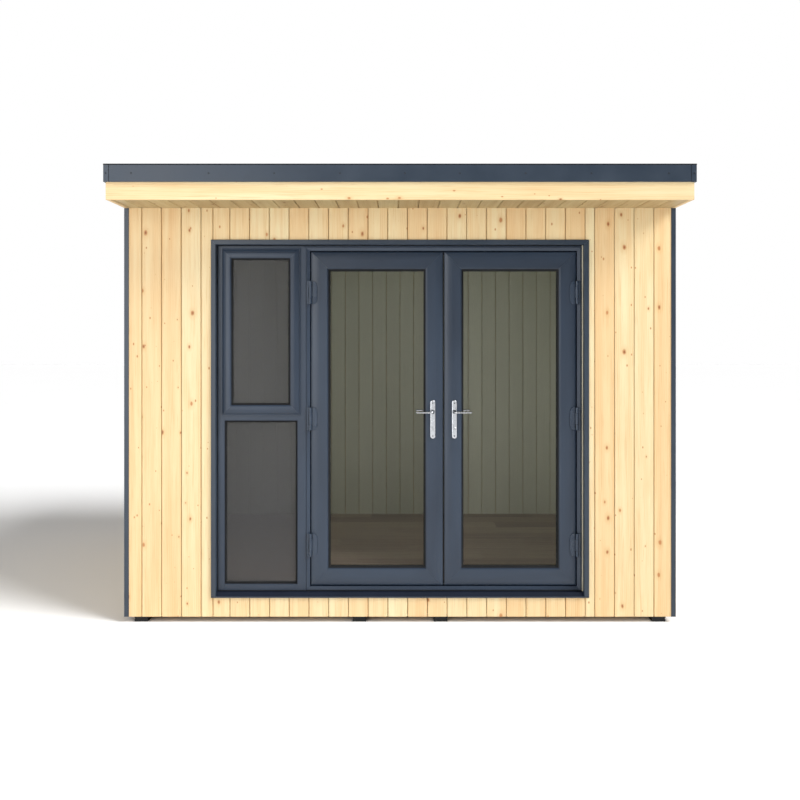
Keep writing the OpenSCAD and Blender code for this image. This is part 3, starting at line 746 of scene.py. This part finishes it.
def roof_trims():
    low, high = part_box("front_roof_trim")
    left_low, left_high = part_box("left_roof_trim")
    right_low, right_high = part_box("right_roof_trim")
    fall = roof_fall()
    x0, x1 = left_low.x + TRIM_IN, right_high.x - TRIM_IN
    y0, y1 = left_low.y + TRIM_IN, left_high.y - TRIM_IN
    wrap = low.x - left_low.x
    top, height = left_high.z - EDGE_STRIP, high.z - low.z - EDGE_STRIP
    flange = high.y - low.y
    thick, lip = 0.002, 0.010
    side_screws, margin = 9, 0.060

    def drop(piece):
        for i, v in enumerate(piece.verts):
            piece.verts[i] = v - Z * (fall * (v.y - left_low.y))

    screws = Piece(seed=80)
    for side in (-1, 1):
        piece = Piece(seed=81 + side)
        edge = x0 if side < 0 else x1
        inner = edge - side * (wrap - SEAM / 2)
        corners = [(inner, y0), (edge, y0), (edge, y1), (inner, y1)]
        bends = rounded(corners, 0.004, 4)[5:15]  # the two outer corners, of five points each
        line = [corners[0]] + bends + [corners[3]]
        within = [(inner, y0 + thick), (edge - side * thick, y0 + thick),
                  (edge - side * thick, y1 - thick), (inner, y1 - thick)]
        if side < 0:
            line.reverse()
            within.reverse()
        fold(piece, line, thick, top - height, top)
        fold(piece, within, lip, top - height, top - height + thick)
        fold(piece, within, wrap - thick, top - thick, top - 0.0001)
        drop(piece)
        name = "left" if side < 0 else "right"
        piece.build(name + "_roof_trim_fold", METAL, nodes=[name + "_roof_trim"],
                    slot="metal_trim", bevel=0.0008)
        for k in range(side_screws):
            y = y0 + margin + k * (y1 - y0 - 2 * margin) / (side_screws - 1)
            z = top - height * 0.5 - fall * (y - left_low.y)
            screw(screws, Vector((edge, y, z)), X * side)

    for name, y, inward in (("front", y0, 1), ("back", y1, -1)):
        piece = Piece(seed=84 + inward)
        z = top - fall * (y - left_low.y)
        lean = fall * inward
        outline = [(0, 0), (0, height), (lip, height), (lip, height - thick),
                   (thick, height - thick), (thick, thick), (flange, thick + flange * lean),
                   (flange, flange * lean)]
        piece.bar(rounded(outline, 0.0012, 2), Vector((low.x + SEAM / 2, y, z)), Y * inward, -Z, X,
                  high.x - low.x - SEAM)
        piece.build(name + "_roof_trim_fold", METAL, nodes=[name + "_roof_trim"],
                    slot="metal_trim", bevel=0)
        places = [low.x - wrap * 0.5, -1.390, -0.990, -0.650, -0.310, 0.026]
        places += [-p for p in places[:-1]]
        for x in places:
            screw(screws, Vector((x, y, z - height * 0.5)), Y * -inward)
    screws.build("roof_trim_screws", SCREW, slot="metal_trim")

    # The covering's black edge, which is turned up over the trims, and a dark block in each trim
    # seam: painted shade in the gap
    strip = Piece(seed=88)
    wide = wrap + 0.028
    outline = rounded(rectangle(wide, EDGE_STRIP), 0.0015, 2)
    for y, inward in ((y0, 1), (y1, -1)):
        strip.bar(outline, Vector((x0, y, top)), Y * inward, Z, X, x1 - x0)
        # Dark blocks in the seams: painted shade in the gaps between the trims
        for x in (low.x, high.x):
            strip.block((x - SEAM / 2, y + min(0.0008 * inward, 0.0024 * inward), top - height),
                        (x + SEAM / 2, y + max(0.0008 * inward, 0.0024 * inward), top),
                        0.0003, Z)
    for x, inward in ((x0, 1), (x1, -1)):
        strip.bar(outline, Vector((x, y0 + wide, top)), X * inward, Z, Y, y1 - y0 - 2 * wide)
    drop(strip)
    strip.build("roof_edge_strip", RUBBER, slot="covering")


def corner_trims():
    low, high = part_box("corner_trims")
    leg, thick = 0.026, 0.003
    piece = Piece(seed=91)
    for sx in (-1, 1):
        for sy in (-1, 1):
            x = low.x if sx < 0 else high.x
            y = low.y if sy < 0 else high.y
            outline = [(0, 0), (leg, 0), (leg, thick), (thick, thick), (thick, leg), (0, leg)]
            piece.bar(rounded(outline, 0.0012, 2), Vector((x, y, low.z)), X * -sx, Y * -sy, Z,
                      high.z - low.z)
    piece.build("corner_angles", METAL, nodes=["corner_trims"], slot="metal_trim")


# ---- Surround, frame and side window ----

def surround():
    """An angle round the opening; along the bottom it is a sill that slopes to a thin front
    edge, in a darker anthracite that paints the shade on its top."""
    low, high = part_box("surround")
    proud = CLAD_Y - low.y
    depth = high.y - low.y
    face = SURROUND_FACE
    outline = rounded([(0, 0.0025), (0.0025, 0), (face - 0.003, 0), (face, 0.004),
                       (face, depth), (0.016, depth), (0.016, proud), (0, proud)], 0.0015)
    piece = Piece(seed=95)
    seam = 0.0003
    w, h = high.x - low.x, high.z - low.z
    corner = low
    piece.bar(outline, corner + Z * seam, X, Y, Z, h - 2 * seam, (0.35, 1))
    piece.bar(outline, corner + X * w + Z * seam, -X, Y, Z, h - 2 * seam, (0.35, 1))
    piece.bar(outline, corner + Z * h + X * seam, -Z, Y, X, w - 2 * seam, (1, 1))
    lip = 0.008
    edge = rounded([(0, 0.002), (0.002, 0), (lip, 0), (lip, 0.004), (0.0075, proud), (0, proud)],
                   0.0012)
    piece.bar(edge, corner + X * 0.002, Z, Y, X, w - 0.004, (0.3, 0.3))
    piece.build("surround_angle", METAL, nodes=["surround"], slot="metal_trim")
    # The sill, in the darker anthracite: painted shade on its top
    sill = Piece(seed=96)
    slope = rounded([(lip - 0.001, 0.005), (face, 0.016), (face, depth), (0.016, depth),
                     (0.016, proud), (lip - 0.001, proud)], 0.0012)
    sill.bar(slope, corner + X * 0.004, Z, Y, X, w - 0.008, (0.6, 0.6))
    sill.build("surround_sill", SHADED_SILL_METAL, slot="metal_trim")


def frame_members():
    """The outer frame: ring, mullion and transom, with stops behind the doors and sash."""
    low, high = FRAME
    depth = high.y - low.y
    leaf_left, leaf_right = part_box("left_leaf"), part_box("right_leaf")
    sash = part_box("window_sash")
    gap, lap = 0.005, 0.016
    door = (leaf_left[0].x - gap, leaf_right[1].x + gap, leaf_left[0].z - gap,
            leaf_left[1].z + gap)
    light = (sash[0].x + lap, sash[1].x - lap, sash[0].z + lap, door[3])
    fixed = (light[0], light[1], low.z + 0.073, light[2] - 0.043)
    ease = 0.0015

    def member(across, along, width, length, x, z):
        piece.bar(rounded(rectangle(width, depth), ease), Vector((x, 0, z)) + Y * low.y, across,
                  Y, along, length)

    def door_member(across, along, width, length, origin, ends):
        """A member of the doors' own ring: flat, a slit, then a slope towards the doorway."""
        flat = width - 0.022
        outline = [(0, 0), (flat - 0.0015, 0), (flat, 0.0040), (flat + 0.0022, 0.0040),
                   (flat + 0.0034, 0.0006), (width - 0.0012, 0.0050), (width, 0.0065),
                   (width, depth), (0, depth)]
        piece.bar(outline, origin + Y * low.y, across, Y, along, length, ends)

    piece = Piece(seed=97)
    # The window's part: head, sill, left jamb and transom
    member(-Z, X, high.z - door[3], light[1] - low.x, low.x, high.z)
    member(Z, X, fixed[2] - low.z, light[1] - light[0], light[0], low.z)
    member(X, Z, light[0] - low.x, door[3] - low.z, low.x, low.z)
    member(Z, X, light[2] - fixed[3], light[1] - light[0], light[0], fixed[3])
    # The doors' part, mitred round the doorway
    jambs = (door[0] - light[1], high.x - door[1], door[2] - low.z, high.z - door[3])
    wide, tall = high.x - light[1], high.z - low.z
    lean = [(jambs[2] / jambs[0], jambs[3] / jambs[0]), (jambs[2] / jambs[1], jambs[3] / jambs[1])]
    door_member(X, Z, jambs[0], tall, Vector((light[1], 0, low.z)), lean[0])
    door_member(-X, Z, jambs[1], tall, Vector((high.x, 0, low.z)), lean[1])
    door_member(Z, X, jambs[2], wide, Vector((light[1], 0, low.z)),
                (jambs[0] / jambs[2], jambs[1] / jambs[2]))
    door_member(-Z, X, jambs[3], wide, Vector((light[1], 0, high.z)),
                (jambs[0] / jambs[3], jambs[1] / jambs[3]))

    # Stops behind the leaves and behind the sash
    stop_y = leaf_left[1].y - low.y + gap
    stop = [(0, stop_y), (0.017, stop_y), (0.017, depth), (0, depth)]
    piece.ring(rounded(stop, ease), (door[0], door[2]), (door[1], door[3]), low.y)
    stop_y = sash[1].y - low.y + gap
    stop = [(0, stop_y), (0.008, stop_y), (0.008, depth), (0, depth)]
    piece.ring(stop, (light[0], light[2]), (light[1], light[3]), low.y)

    # Beads of the fixed light
    bead = rounded([(0, 0.0015), (0.003, 0.0015), (0.009, 0.0115), (0.009, 0.0127),
                    (0, 0.0127)], 0.0008)
    piece.ring(bead, (fixed[0], fixed[2]), (fixed[1], fixed[3]), low.y)
    back = [(0, 0.0375), (0.009, 0.0375), (0.009, 0.053), (0, 0.068)]
    piece.ring(back, (fixed[0], fixed[2]), (fixed[1], fixed[3]), low.y)
    piece.build("door_and_window_frame", PROFILE, nodes=["door_frame"], slot="profile")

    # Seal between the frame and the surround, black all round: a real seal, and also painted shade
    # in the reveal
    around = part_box("surround")
    face = SURROUND_FACE
    seal = Piece(seed=98)
    seal.ring(rounded([(0, 0.0030), (0, 0), (0.0035, 0), (0.005, 0.0030)], 0.0006, 2),
              (around[0].x + face, around[0].z + face), (around[1].x - face, around[1].z - face),
              low.y - 0.0031)
    seal.build("surround_seal", RUBBER, slot="profile")
    # A pale strip down the right reveal only: a painted reflection of the timber in it.
    bead = Piece(seed=99)
    bead.bar(rounded(rectangle(0.0045, 0.0008), 0.0003),
             Vector((around[1].x - face, low.y - 0.0040, around[0].z + face)), -X, Y, Z,
             around[1].z - around[0].z - 2 * face)
    bead.build("right_reveal_bead", RIGHT_REVEAL_REFLECTION, slot="profile")
    return fixed


def gasket(piece, low, high, y, rise, on_bead=0.0065, on_glass=0.0040):
    """A wedge of rubber round a pane: it laps the bead's slope and the pane, whose face is at y.
    Its black band over the bead's slope is widened to paint the shade at the pane's edge as well.
    rise is how far the bead's slope stands in front of the pane under the wedge's edge."""
    lap = 0.0005
    outline = [(0, -rise - lap), (on_bead, -0.0016), (on_bead + on_glass, -0.0009),
               (on_bead + on_glass, 0.0002), (0, 0.0002)]
    piece.ring(outline, (low[0] - on_bead, low[1] - on_bead), (high[0] + on_bead,
               high[1] + on_bead), y)


def unit(panes, spacer, low, high, y, thick=0.024):
    """A sealed unit seen through an opening: two panes and the bar between them."""
    reach, sheet = 0.008, 0.004
    for y0 in (y, y + thick - sheet):
        panes.block((low[0] - reach, y0, low[1] - reach), (high[0] + reach, y0 + sheet,
                    high[1] + reach), 0.0005)
    spacer.ring(rectangle(0.010, thick - 2 * sheet), (low[0] - reach, low[1] - reach),
                (high[0] + reach, high[1] + reach), y + sheet, 0)


def side_window(fixed):
    """The opening sash, and the sealed units of the sash and of the fixed light below it."""
    low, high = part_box("window_sash")
    face, thick = 0.064, high.y - low.y
    section = [(0, 0.0100), (0.006, 0.0090), (0.0072, 0.0125), (0.0086, 0.0125), (0.0098, 0.0085),
               (0.020, 0.0040), (0.030, 0.0008), (0.037, 0.0), (0.050, 0.0), (0.0545, 0.0022),
               (0.0555, 0.0055), (0.0575, 0.0060), (0.064, 0.0118), (0.064, 0.0127),
               (0.055, 0.0127), (0.055, 0.0373), (0.064, 0.0373), (0.060, thick),
               (0.020, thick), (0.020, 0.016), (0, 0.016)]
    piece = Piece(seed=101)
    piece.ring(rounded(section, 0.0012, 2), (low.x, low.z), (high.x, high.z), low.y)
    piece.build("window_sash_ring", PROFILE, nodes=["window_sash"], slot="profile")

    panes, spacer, rubber = Piece(seed=102), Piece(seed=103), Piece(seed=104)
    bead = 0.009
    opening = ((fixed[0] + bead, fixed[2] + bead), (fixed[1] - bead, fixed[3] - bead))
    unit(panes, spacer, *opening, FACE_Y + PANE_SET)
    # Its wide band over the bead is rubber and also painted shade at the pane's edge.
    gasket(rubber, *opening, FACE_Y + PANE_SET, 0.0110, 0.0058)
    opening = ((low.x + face, low.z + face), (high.x - face, high.z - face))
    unit(panes, spacer, *opening, low.y + PANE_SET)
    gasket(rubber, *opening, low.y + PANE_SET, 0.0070)
    # Seal between the sash and the frame
    rubber.ring(rectangle(0.010, 0.0008),
                (low.x + 0.004, low.z + 0.004), (high.x - 0.004, high.z - 0.004), FACE_Y - 0.0009)
    panes.build("window_panes", SIDE_PANE_PAINTED_SHADE, nodes=["window_glass"], slot="glass")
    spacer.build("window_spacers", DARK_METAL)
    rubber.build("window_gaskets", RUBBER)


# ---- Door leaves ----

class Leaf:
    """Puts a leaf's own places into the world. X runs from its hinge edge, Y from its outside
    face and Z from its bottom edge."""

    def __init__(self, name):
        self.name = name
        self.body = name + "_door"
        low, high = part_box(name + "_leaf")
        self.side = 1 if name == "left" else -1
        self.edge = low.x if name == "left" else high.x
        self.y, self.z = low.y, low.z
        self.width, self.height, self.thick = high.x - low.x, high.z - low.z, high.y - low.y

    def place(self, piece):
        for i, v in enumerate(piece.verts):
            piece.verts[i] = Vector((self.edge + self.side * v.x, self.y + v.y, self.z + v.z))
        return piece


def leaf_pieces(leaf):
    """The mitred ring of a door leaf, with its sealed unit, gaskets and brush seal."""
    seed = 110 if leaf.name == "left" else 120
    face = LEAF_FACE
    w, h, t = leaf.width, leaf.height, leaf.thick
    section = [(0, 0.0098), (0.0012, 0.0080), (0.0040, 0.0062), (0.0085, 0.0045), (0.0145, 0.0030),
               (0.0220, 0.0016), (0.0310, 0.0006), (0.0420, 0.0), (0.088, 0.0),
               (0.0925, 0.0015), (0.0940, 0.0050), (0.0960, 0.0055), (face, 0.0118),
               (face, 0.0127), (0.094, 0.0127), (0.094, 0.0373), (face, 0.0373),
               (0.097, 0.0450), (0.090, t), (0.004, t), (0.001, 0.020)]
    ring = Piece(seed=seed)
    ring.ring(rounded(section, 0.0014, 2), (0, 0), (w, h), 0)
    leaf.place(ring).build(leaf.name + "_leaf_ring", PROFILE, leaf.body,
                           [leaf.name + "_leaf"], "profile")

    panes, spacer, rubber = Piece(seed=seed + 1), Piece(seed=seed + 2), Piece(seed=seed + 3)
    opening = ((face, face), (w - face, h - face))
    unit(panes, spacer, *opening, PANE_SET)
    gasket(rubber, *opening, PANE_SET, 0.0075)
    rubber.ring([(0, 0.0370), (0.004, 0.0370), (0.002, 0.0390), (0, 0.0390)], *opening, 0)
    # Brush seal in the gap between the leaves
    rubber.block((w + 0.0001, 0.012, 0.004), (w + 0.0034, 0.030, h - 0.004), 0.0006, Z)
    leaf.place(panes).build(leaf.name + "_leaf_panes", PANE, leaf.body,
                            [leaf.name + "_leaf_glass"], "glass")
    leaf.place(spacer).build(leaf.name + "_leaf_spacer", DARK_METAL, leaf.body)
    leaf.place(rubber).build(leaf.name + "_leaf_gaskets", RUBBER, leaf.body)


def hinge_pieces(leaf, fixed):
    """Wings on the leaf, and the fixed halves with their pins."""
    wing_len, fixed_len, plate = 0.038, 0.021, 0.005
    height, out, r, clear = 0.127, 0.012, 0.008, 0.0095
    pin_x = -0.0025
    low = height / 4 + 0.001
    wings = Piece(seed=130 if leaf.name == "left" else 131)
    own = Piece(seed=132)
    for middle in (0.227, leaf.height / 2, leaf.height - 0.227):
        z0 = middle - height / 2
        # The wing's plate, its outer corners rounded
        outline = [(clear + 0.0002, 0), (wing_len * 0.62, 0), (wing_len * 0.90, height * 0.10),
                   (wing_len, height * 0.24), (wing_len, height * 0.76),
                   (wing_len * 0.90, height * 0.90), (wing_len * 0.62, height),
                   (clear + 0.0002, height)]
        outline = rounded(outline, 0.02, 4)
        base = Vector((pin_x, -0.0001, z0))
        layers = [(-0.0060, 0.0), (plate - 0.0014, 0.0), (plate - 0.0003, 0.0009),
                  (plate, 0.0022)]
        stacked(wings, outline, base, layers)
        inner = [(clear + 0.004, height * 0.10), (wing_len * 0.80, height * 0.14),
                 (wing_len * 0.90, height * 0.26), (wing_len * 0.90, height * 0.74),
                 (wing_len * 0.80, height * 0.86), (clear + 0.004, height * 0.90)]
        stacked(wings, rounded(inner, 0.012, 3), Vector((pin_x, -plate, z0)),
                [(0.0, 0.0), (0.0006, 0.0004), (0.0009, 0.0012)])
        for z in (0.22, 0.78):
            screw(wings, Vector((pin_x + 0.024, -plate - 0.0007, z0 + height * z)), -Y, 0.0042,
                  0.0010)
        barrel(wings, pin_x, -out, z0 + low, height - 2 * low, r)
        wings.block((pin_x, -out + 0.001, z0 + low), (pin_x + clear + 0.001, 0, z0 + height - low),
                    0.0008, Z)
        # The fixed half
        for z in (0, height - height / 4):
            barrel(own, pin_x, -out, z0 + z, height / 4, r)
            own.block((pin_x - clear - 0.001, -out + 0.001, z0 + z),
                      (pin_x, -0.0001, z0 + z + height / 4), 0.0008, Z)
        own.block((pin_x - fixed_len, -plate, z0), (pin_x - clear, 0.0055, z0 + height),
                  0.0012, Z)
        own.lathe([(0, 0.0035), (height, 0.0035)], Vector((pin_x, -out, z0)), Z, X, 16)
    leaf.place(wings).build(leaf.name + "_hinge_wings_detail", HINGE_METAL_PAINTED_HIGHLIGHT, leaf.body,
                            [leaf.name + "_hinge_wings"], "hinge")
    fixed.join(leaf.place(own))


def barrel(piece, x, y, z, length, r):
    """A knuckle with eased ends."""
    ease = 0.0012
    piece.lathe([(0, r - ease), (ease, r), (length - ease, r), (length, r - ease)],
                Vector((x, y, z)), Z, X, 28)


def stacked(piece, outline, base, layers, outward=-Y):
    """A plate drawn in X and Z that shrinks as it stands out. Layers are (out, shrink)."""
    n = len(outline)
    cx = sum(p[0] for p in outline) / n
    cz = sum(p[1] for p in outline) / n
    half_x = max(abs(p[0] - cx) for p in outline)
    half_z = max(abs(p[1] - cz) for p in outline)
    piece.loft([[base + Vector((cx + (a - cx) * (1 - shrink / half_x), 0,
                                cz + (b - cz) * (1 - shrink / half_z))) + outward * out
                 for a, b in outline] for out, shrink in layers])


# ---- Handles ----

def stadium(width, low, high, steps=12):
    """An outline with half-round ends, from low to high, about X = 0."""
    r = width / 2
    points = []
    for middle, start in ((high - r, 0.0), (low + r, math.pi)):
        for k in range(steps + 1):
            a = start + math.pi * k / steps
            points.append((r * math.cos(a), middle + r * math.sin(a)))
    return points


def sweep(piece, path, radii, steps=20):
    """A tube through points, with a radius at each."""
    rings = []
    for i, (p, r) in enumerate(zip(path, radii)):
        ahead = (path[min(i + 1, len(path) - 1)] - path[max(i - 1, 0)]).normalized()
        side = ahead.cross(Z).normalized()
        angles = [2 * math.pi * k / steps for k in range(steps)]
        rings.append([p + side * (r * math.cos(a)) + Z * (r * math.sin(a)) for a in angles])
    piece.loft(rings)


def handle_pieces(leaf):
    """Backplates with their lock cylinders, and the lever with its spindle."""
    axis_x, axis_z = leaf.width - 0.056, 0.966
    lock_drop, bend = 0.092, 0.014
    plate_t, out, length = 0.008, 0.042, 0.094
    neck, bar_r, t = 0.008, 0.0055, leaf.thick
    plates, levers = Piece(seed=141), Piece(seed=142)
    dark = Piece(seed=143)
    outline = stadium(0.028, -0.149, 0.066)
    for face, outward in ((0.0, -Y), (t, Y)):
        base = Vector((axis_x, face, axis_z))
        layers = [(0.0001, 0.0), (plate_t * 0.55, 0.0), (plate_t * 0.80, 0.0007),
                  (plate_t * 0.94, 0.0022), (plate_t - 0.0002, 0.0045)]
        stacked(plates, outline, base, layers, outward)
        # Collar round the neck, cylinder lock and its surround, and two screws
        plates.lathe([(plate_t - 0.002, 0.0112), (plate_t - 0.0002, 0.0112)], base, outward, X, 28)
        lock = base - Z * lock_drop
        dark.lathe([(plate_t - 0.004, 0.0086), (plate_t - 0.00005, 0.0086)], lock, outward, X, 28)
        plates.lathe([(plate_t - 0.004, 0.0078), (plate_t + 0.0001, 0.0078),
                      (plate_t + 0.0006, 0.0072)], lock, outward, X, 28)
        slot = stadium(0.0016, -0.0042, 0.0042, 5)
        stacked(dark, slot, lock + outward * (plate_t + 0.0003), [(0.0, 0.0), (0.0005, 0.0)],
                outward)
        for z in (0.049, -0.134):
            dark.lathe([(plate_t - 0.003, 0.0036), (plate_t, 0.0034)],
                       base + Z * z, outward, X, 16)
    # Neck, elbow and bar on each face, and the spindle between them
    for face, outward in ((0.0, -Y), (t, Y)):
        path, radii = [], []
        reach = plate_t + out
        for s in (0.0004, 0.004, 0.012, 0.022, reach - bend):
            path.append(Vector((axis_x, face, axis_z)) + outward * s)
            radii.append(neck if s < 0.006 else neck * 0.93)
        centre = Vector((axis_x - bend, face, axis_z)) + outward * (reach - bend)
        for k in range(1, 9):
            a = math.radians(90) * k / 8
            path.append(centre + X * (bend * math.cos(a)) + outward * (bend * math.sin(a)))
            radii.append(neck * 0.93 + (bar_r - neck * 0.93) * k / 8)
        for k in range(1, 12):
            s = k / 11
            x = axis_x - bend - (length - bend) * s
            path.append(Vector((x + bar_r * 0.4 * (s == 1), face, axis_z))
                        + outward * (reach - 0.0012 * math.sin(math.pi * s)))
            radii.append(bar_r * (1.0 - 0.10 * s))
        for shrink, back in ((0.80, -0.0008), (0.50, -0.0016)):
            path.append(path[-1] + X * back)
            radii.append(bar_r * 0.9 * shrink)
        sweep(levers, path, radii)
    levers.lathe([(-0.002, 0.0044), (t + 0.002, 0.0044)], Vector((axis_x, 0, axis_z)), Y, X, 16)
    leaf.place(plates).build(leaf.name + "_backplates_detail", CHROME, leaf.body,
                             [leaf.name + "_backplates"], "handle")
    leaf.place(dark).build(leaf.name + "_lock_detail", SCREW, leaf.body, slot="handle")
    leaf.place(levers).build(leaf.name + "_lever_detail", CHROME, leaf.name + "_lever",
                             [leaf.name + "_lever"], "handle")


# ---- Base ----

def bearers():
    low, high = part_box("floor_bearers")
    width, height = 0.076, high.z - low.z
    piece = Piece(seed=151)
    section = [(0, 0), (width, 0), (width, 0.011), (width - 0.003, 0.013), (width - 0.003, 0.019),
               (width, 0.021), (width, 0.030), (width - 0.003, 0.032), (width - 0.003, 0.037),
               (width, 0.039), (width, height), (0, height), (0, 0.039), (0.003, 0.037),
               (0.003, 0.032), (0, 0.030), (0, 0.021), (0.003, 0.019), (0.003, 0.013), (0, 0.011)]
    inner_places = (-0.263, 0.187)
    for x in (low.x, *inner_places, high.x - width):
        piece.bar(rounded(section, 0.0015, 2), Vector((x, low.y, low.z)), X, Z, Y,
                  high.y - low.y)
    piece.build("bearer_blocks", BEARER, nodes=["floor_bearers"], slot="bearer")


def dress_core_nodes():
    """The insulated panels and the covering keep their own meshes."""
    core = ["floor_panel", "front_wall_left", "front_wall_right", "front_wall_head",
            "left_wall", "right_wall", "back_wall", "roof_panel"]
    for name in core:
        dress(name, PANEL)
    dress("roof_covering", COVERING)


def dress(name, material):
    obj = NODES[name]
    for slot in obj.material_slots:
        slot.material = material
    if not obj.material_slots:
        obj.data.materials.append(material)


# ---- Stage ----

def add(name, data):
    obj = bpy.data.objects.new(name, data)
    bpy.context.scene.collection.objects.link(obj)
    return obj


def area_light(name, place, target, size, energy, mirrored=True):
    """A soft box. One that isn't mirrored lights surfaces without showing in their gloss."""
    data = bpy.data.lights.new(name, "AREA")
    data.shape, data.size, data.size_y = "RECTANGLE", size[0], size[1]
    data.energy = energy
    obj = add(name, data)
    obj.visible_camera, obj.visible_glossy = False, mirrored
    obj.location = place
    obj.rotation_euler = (Vector(target) - Vector(place)).to_track_quat("-Z", "Y").to_euler()


def floor_plane():
    mesh = bpy.data.meshes.new("studio_floor")
    reach = 40.0
    mesh.from_pydata([(-reach, -reach, 0), (reach, -reach, 0), (reach, reach, 0),
                      (-reach, reach, 0)], [], [(0, 1, 2, 3)])
    s = Shade("studio_floor", Roughness=0.9, Specular_IOR_Level=0.1)
    cloud = s.noise(s.position(), 0.4, 2.0)
    mesh.materials.append(s.finish(s.mix(cloud, (0.96, 0.96, 0.96), (0.97, 0.97, 0.97))))
    obj = add("studio_floor", mesh)
    obj.location.z = -0.0005


def camera():
    data = bpy.data.cameras.new("camera")
    data.sensor_width = 36
    data.lens = 41.6
    data.shift_y = -0.085
    obj = add("camera", data)
    obj.location = (0, CLAD_Y - 5.112, 1.606)
    obj.rotation_euler = (math.radians(90), 0, 0)
    bpy.context.scene.camera = obj


def world_light():
    """Seen directly it is white; as light it is dimmer, and brighter on the left."""
    world = bpy.data.worlds.new("studio")
    world.use_nodes = True
    tree = world.node_tree
    background = tree.nodes["Background"]

    def node(kind, **settings):
        made = tree.nodes.new("ShaderNode" + kind)
        for key, value in settings.items():
            made.inputs[key.replace("_", " ")].default_value = value
        return made

    split = node("SeparateXYZ")
    tree.links.new(node("TexCoord").outputs["Generated"], split.inputs["Vector"])
    sideways = node("MapRange", From_Min=-0.7, From_Max=0.4, To_Min=WORLD_LEFT, To_Max=WORLD_RIGHT)
    behind = node("MapRange", From_Min=-0.1, From_Max=0.5, To_Max=WORLD_BEHIND)
    seen = node("MapRange", To_Max=1.0)
    tree.links.new(split.outputs["X"], sideways.inputs["Value"])
    tree.links.new(split.outputs["Y"], behind.inputs["Value"])
    tree.links.new(sideways.outputs["Result"], behind.inputs["To Min"])
    tree.links.new(node("LightPath").outputs["Is Camera Ray"], seen.inputs["Value"])
    tree.links.new(behind.outputs["Result"], seen.inputs["To Min"])
    tree.links.new(seen.outputs["Result"], background.inputs["Strength"])
    background.inputs["Color"].default_value = (1, 1, 1, 1)
    bpy.context.scene.world = world
    bpy.context.scene.view_settings.view_transform = "Standard"


def sun_light(direction, strength, angle):
    data = bpy.data.lights.new("sun", "SUN")
    data.energy, data.angle = strength, math.radians(angle)
    obj = add("sun", data)
    obj.rotation_euler = Vector(direction).to_track_quat("-Z", "Y").to_euler()


front_boards()
plain_walls()
soffit_boards()
fascias()
linings()
laminate_floor()
roof_trims()
corner_trims()
surround()
side_window(frame_members())
fixed_halves = Piece(seed=160)
for leaf in (Leaf("left"), Leaf("right")):
    leaf_pieces(leaf)
    hinge_pieces(leaf, fixed_halves)
    handle_pieces(leaf)
fixed_halves.build("fixed_hinge_halves_detail", HINGE_METAL_PAINTED_HIGHLIGHT, nodes=["fixed_hinge_halves"], slot="hinge")
bearers()
dress_core_nodes()

camera()
world_light()
floor_plane()
sun_light((-0.85, 0.40, -0.80), 3.8, 30)
area_light("front", (2.5, -9.0, 4.6), (0.3, -1.0, 1.0), (6.0, 3.6), 130, mirrored=False)
area_light("left_front", (-3.9, -8.0, 2.6), (-0.5, -1.0, 1.2), (4.6, 4.6), 190)
area_light("left_rim", (-8.0, -3.6, 1.5), (0, -1.0, 1.2), (1.6, 3.6), 60)
area_light("room", (0, 0.2, 2.12), (0, 0.3, 0), (2.0, 1.3), 2.6, mirrored=False)
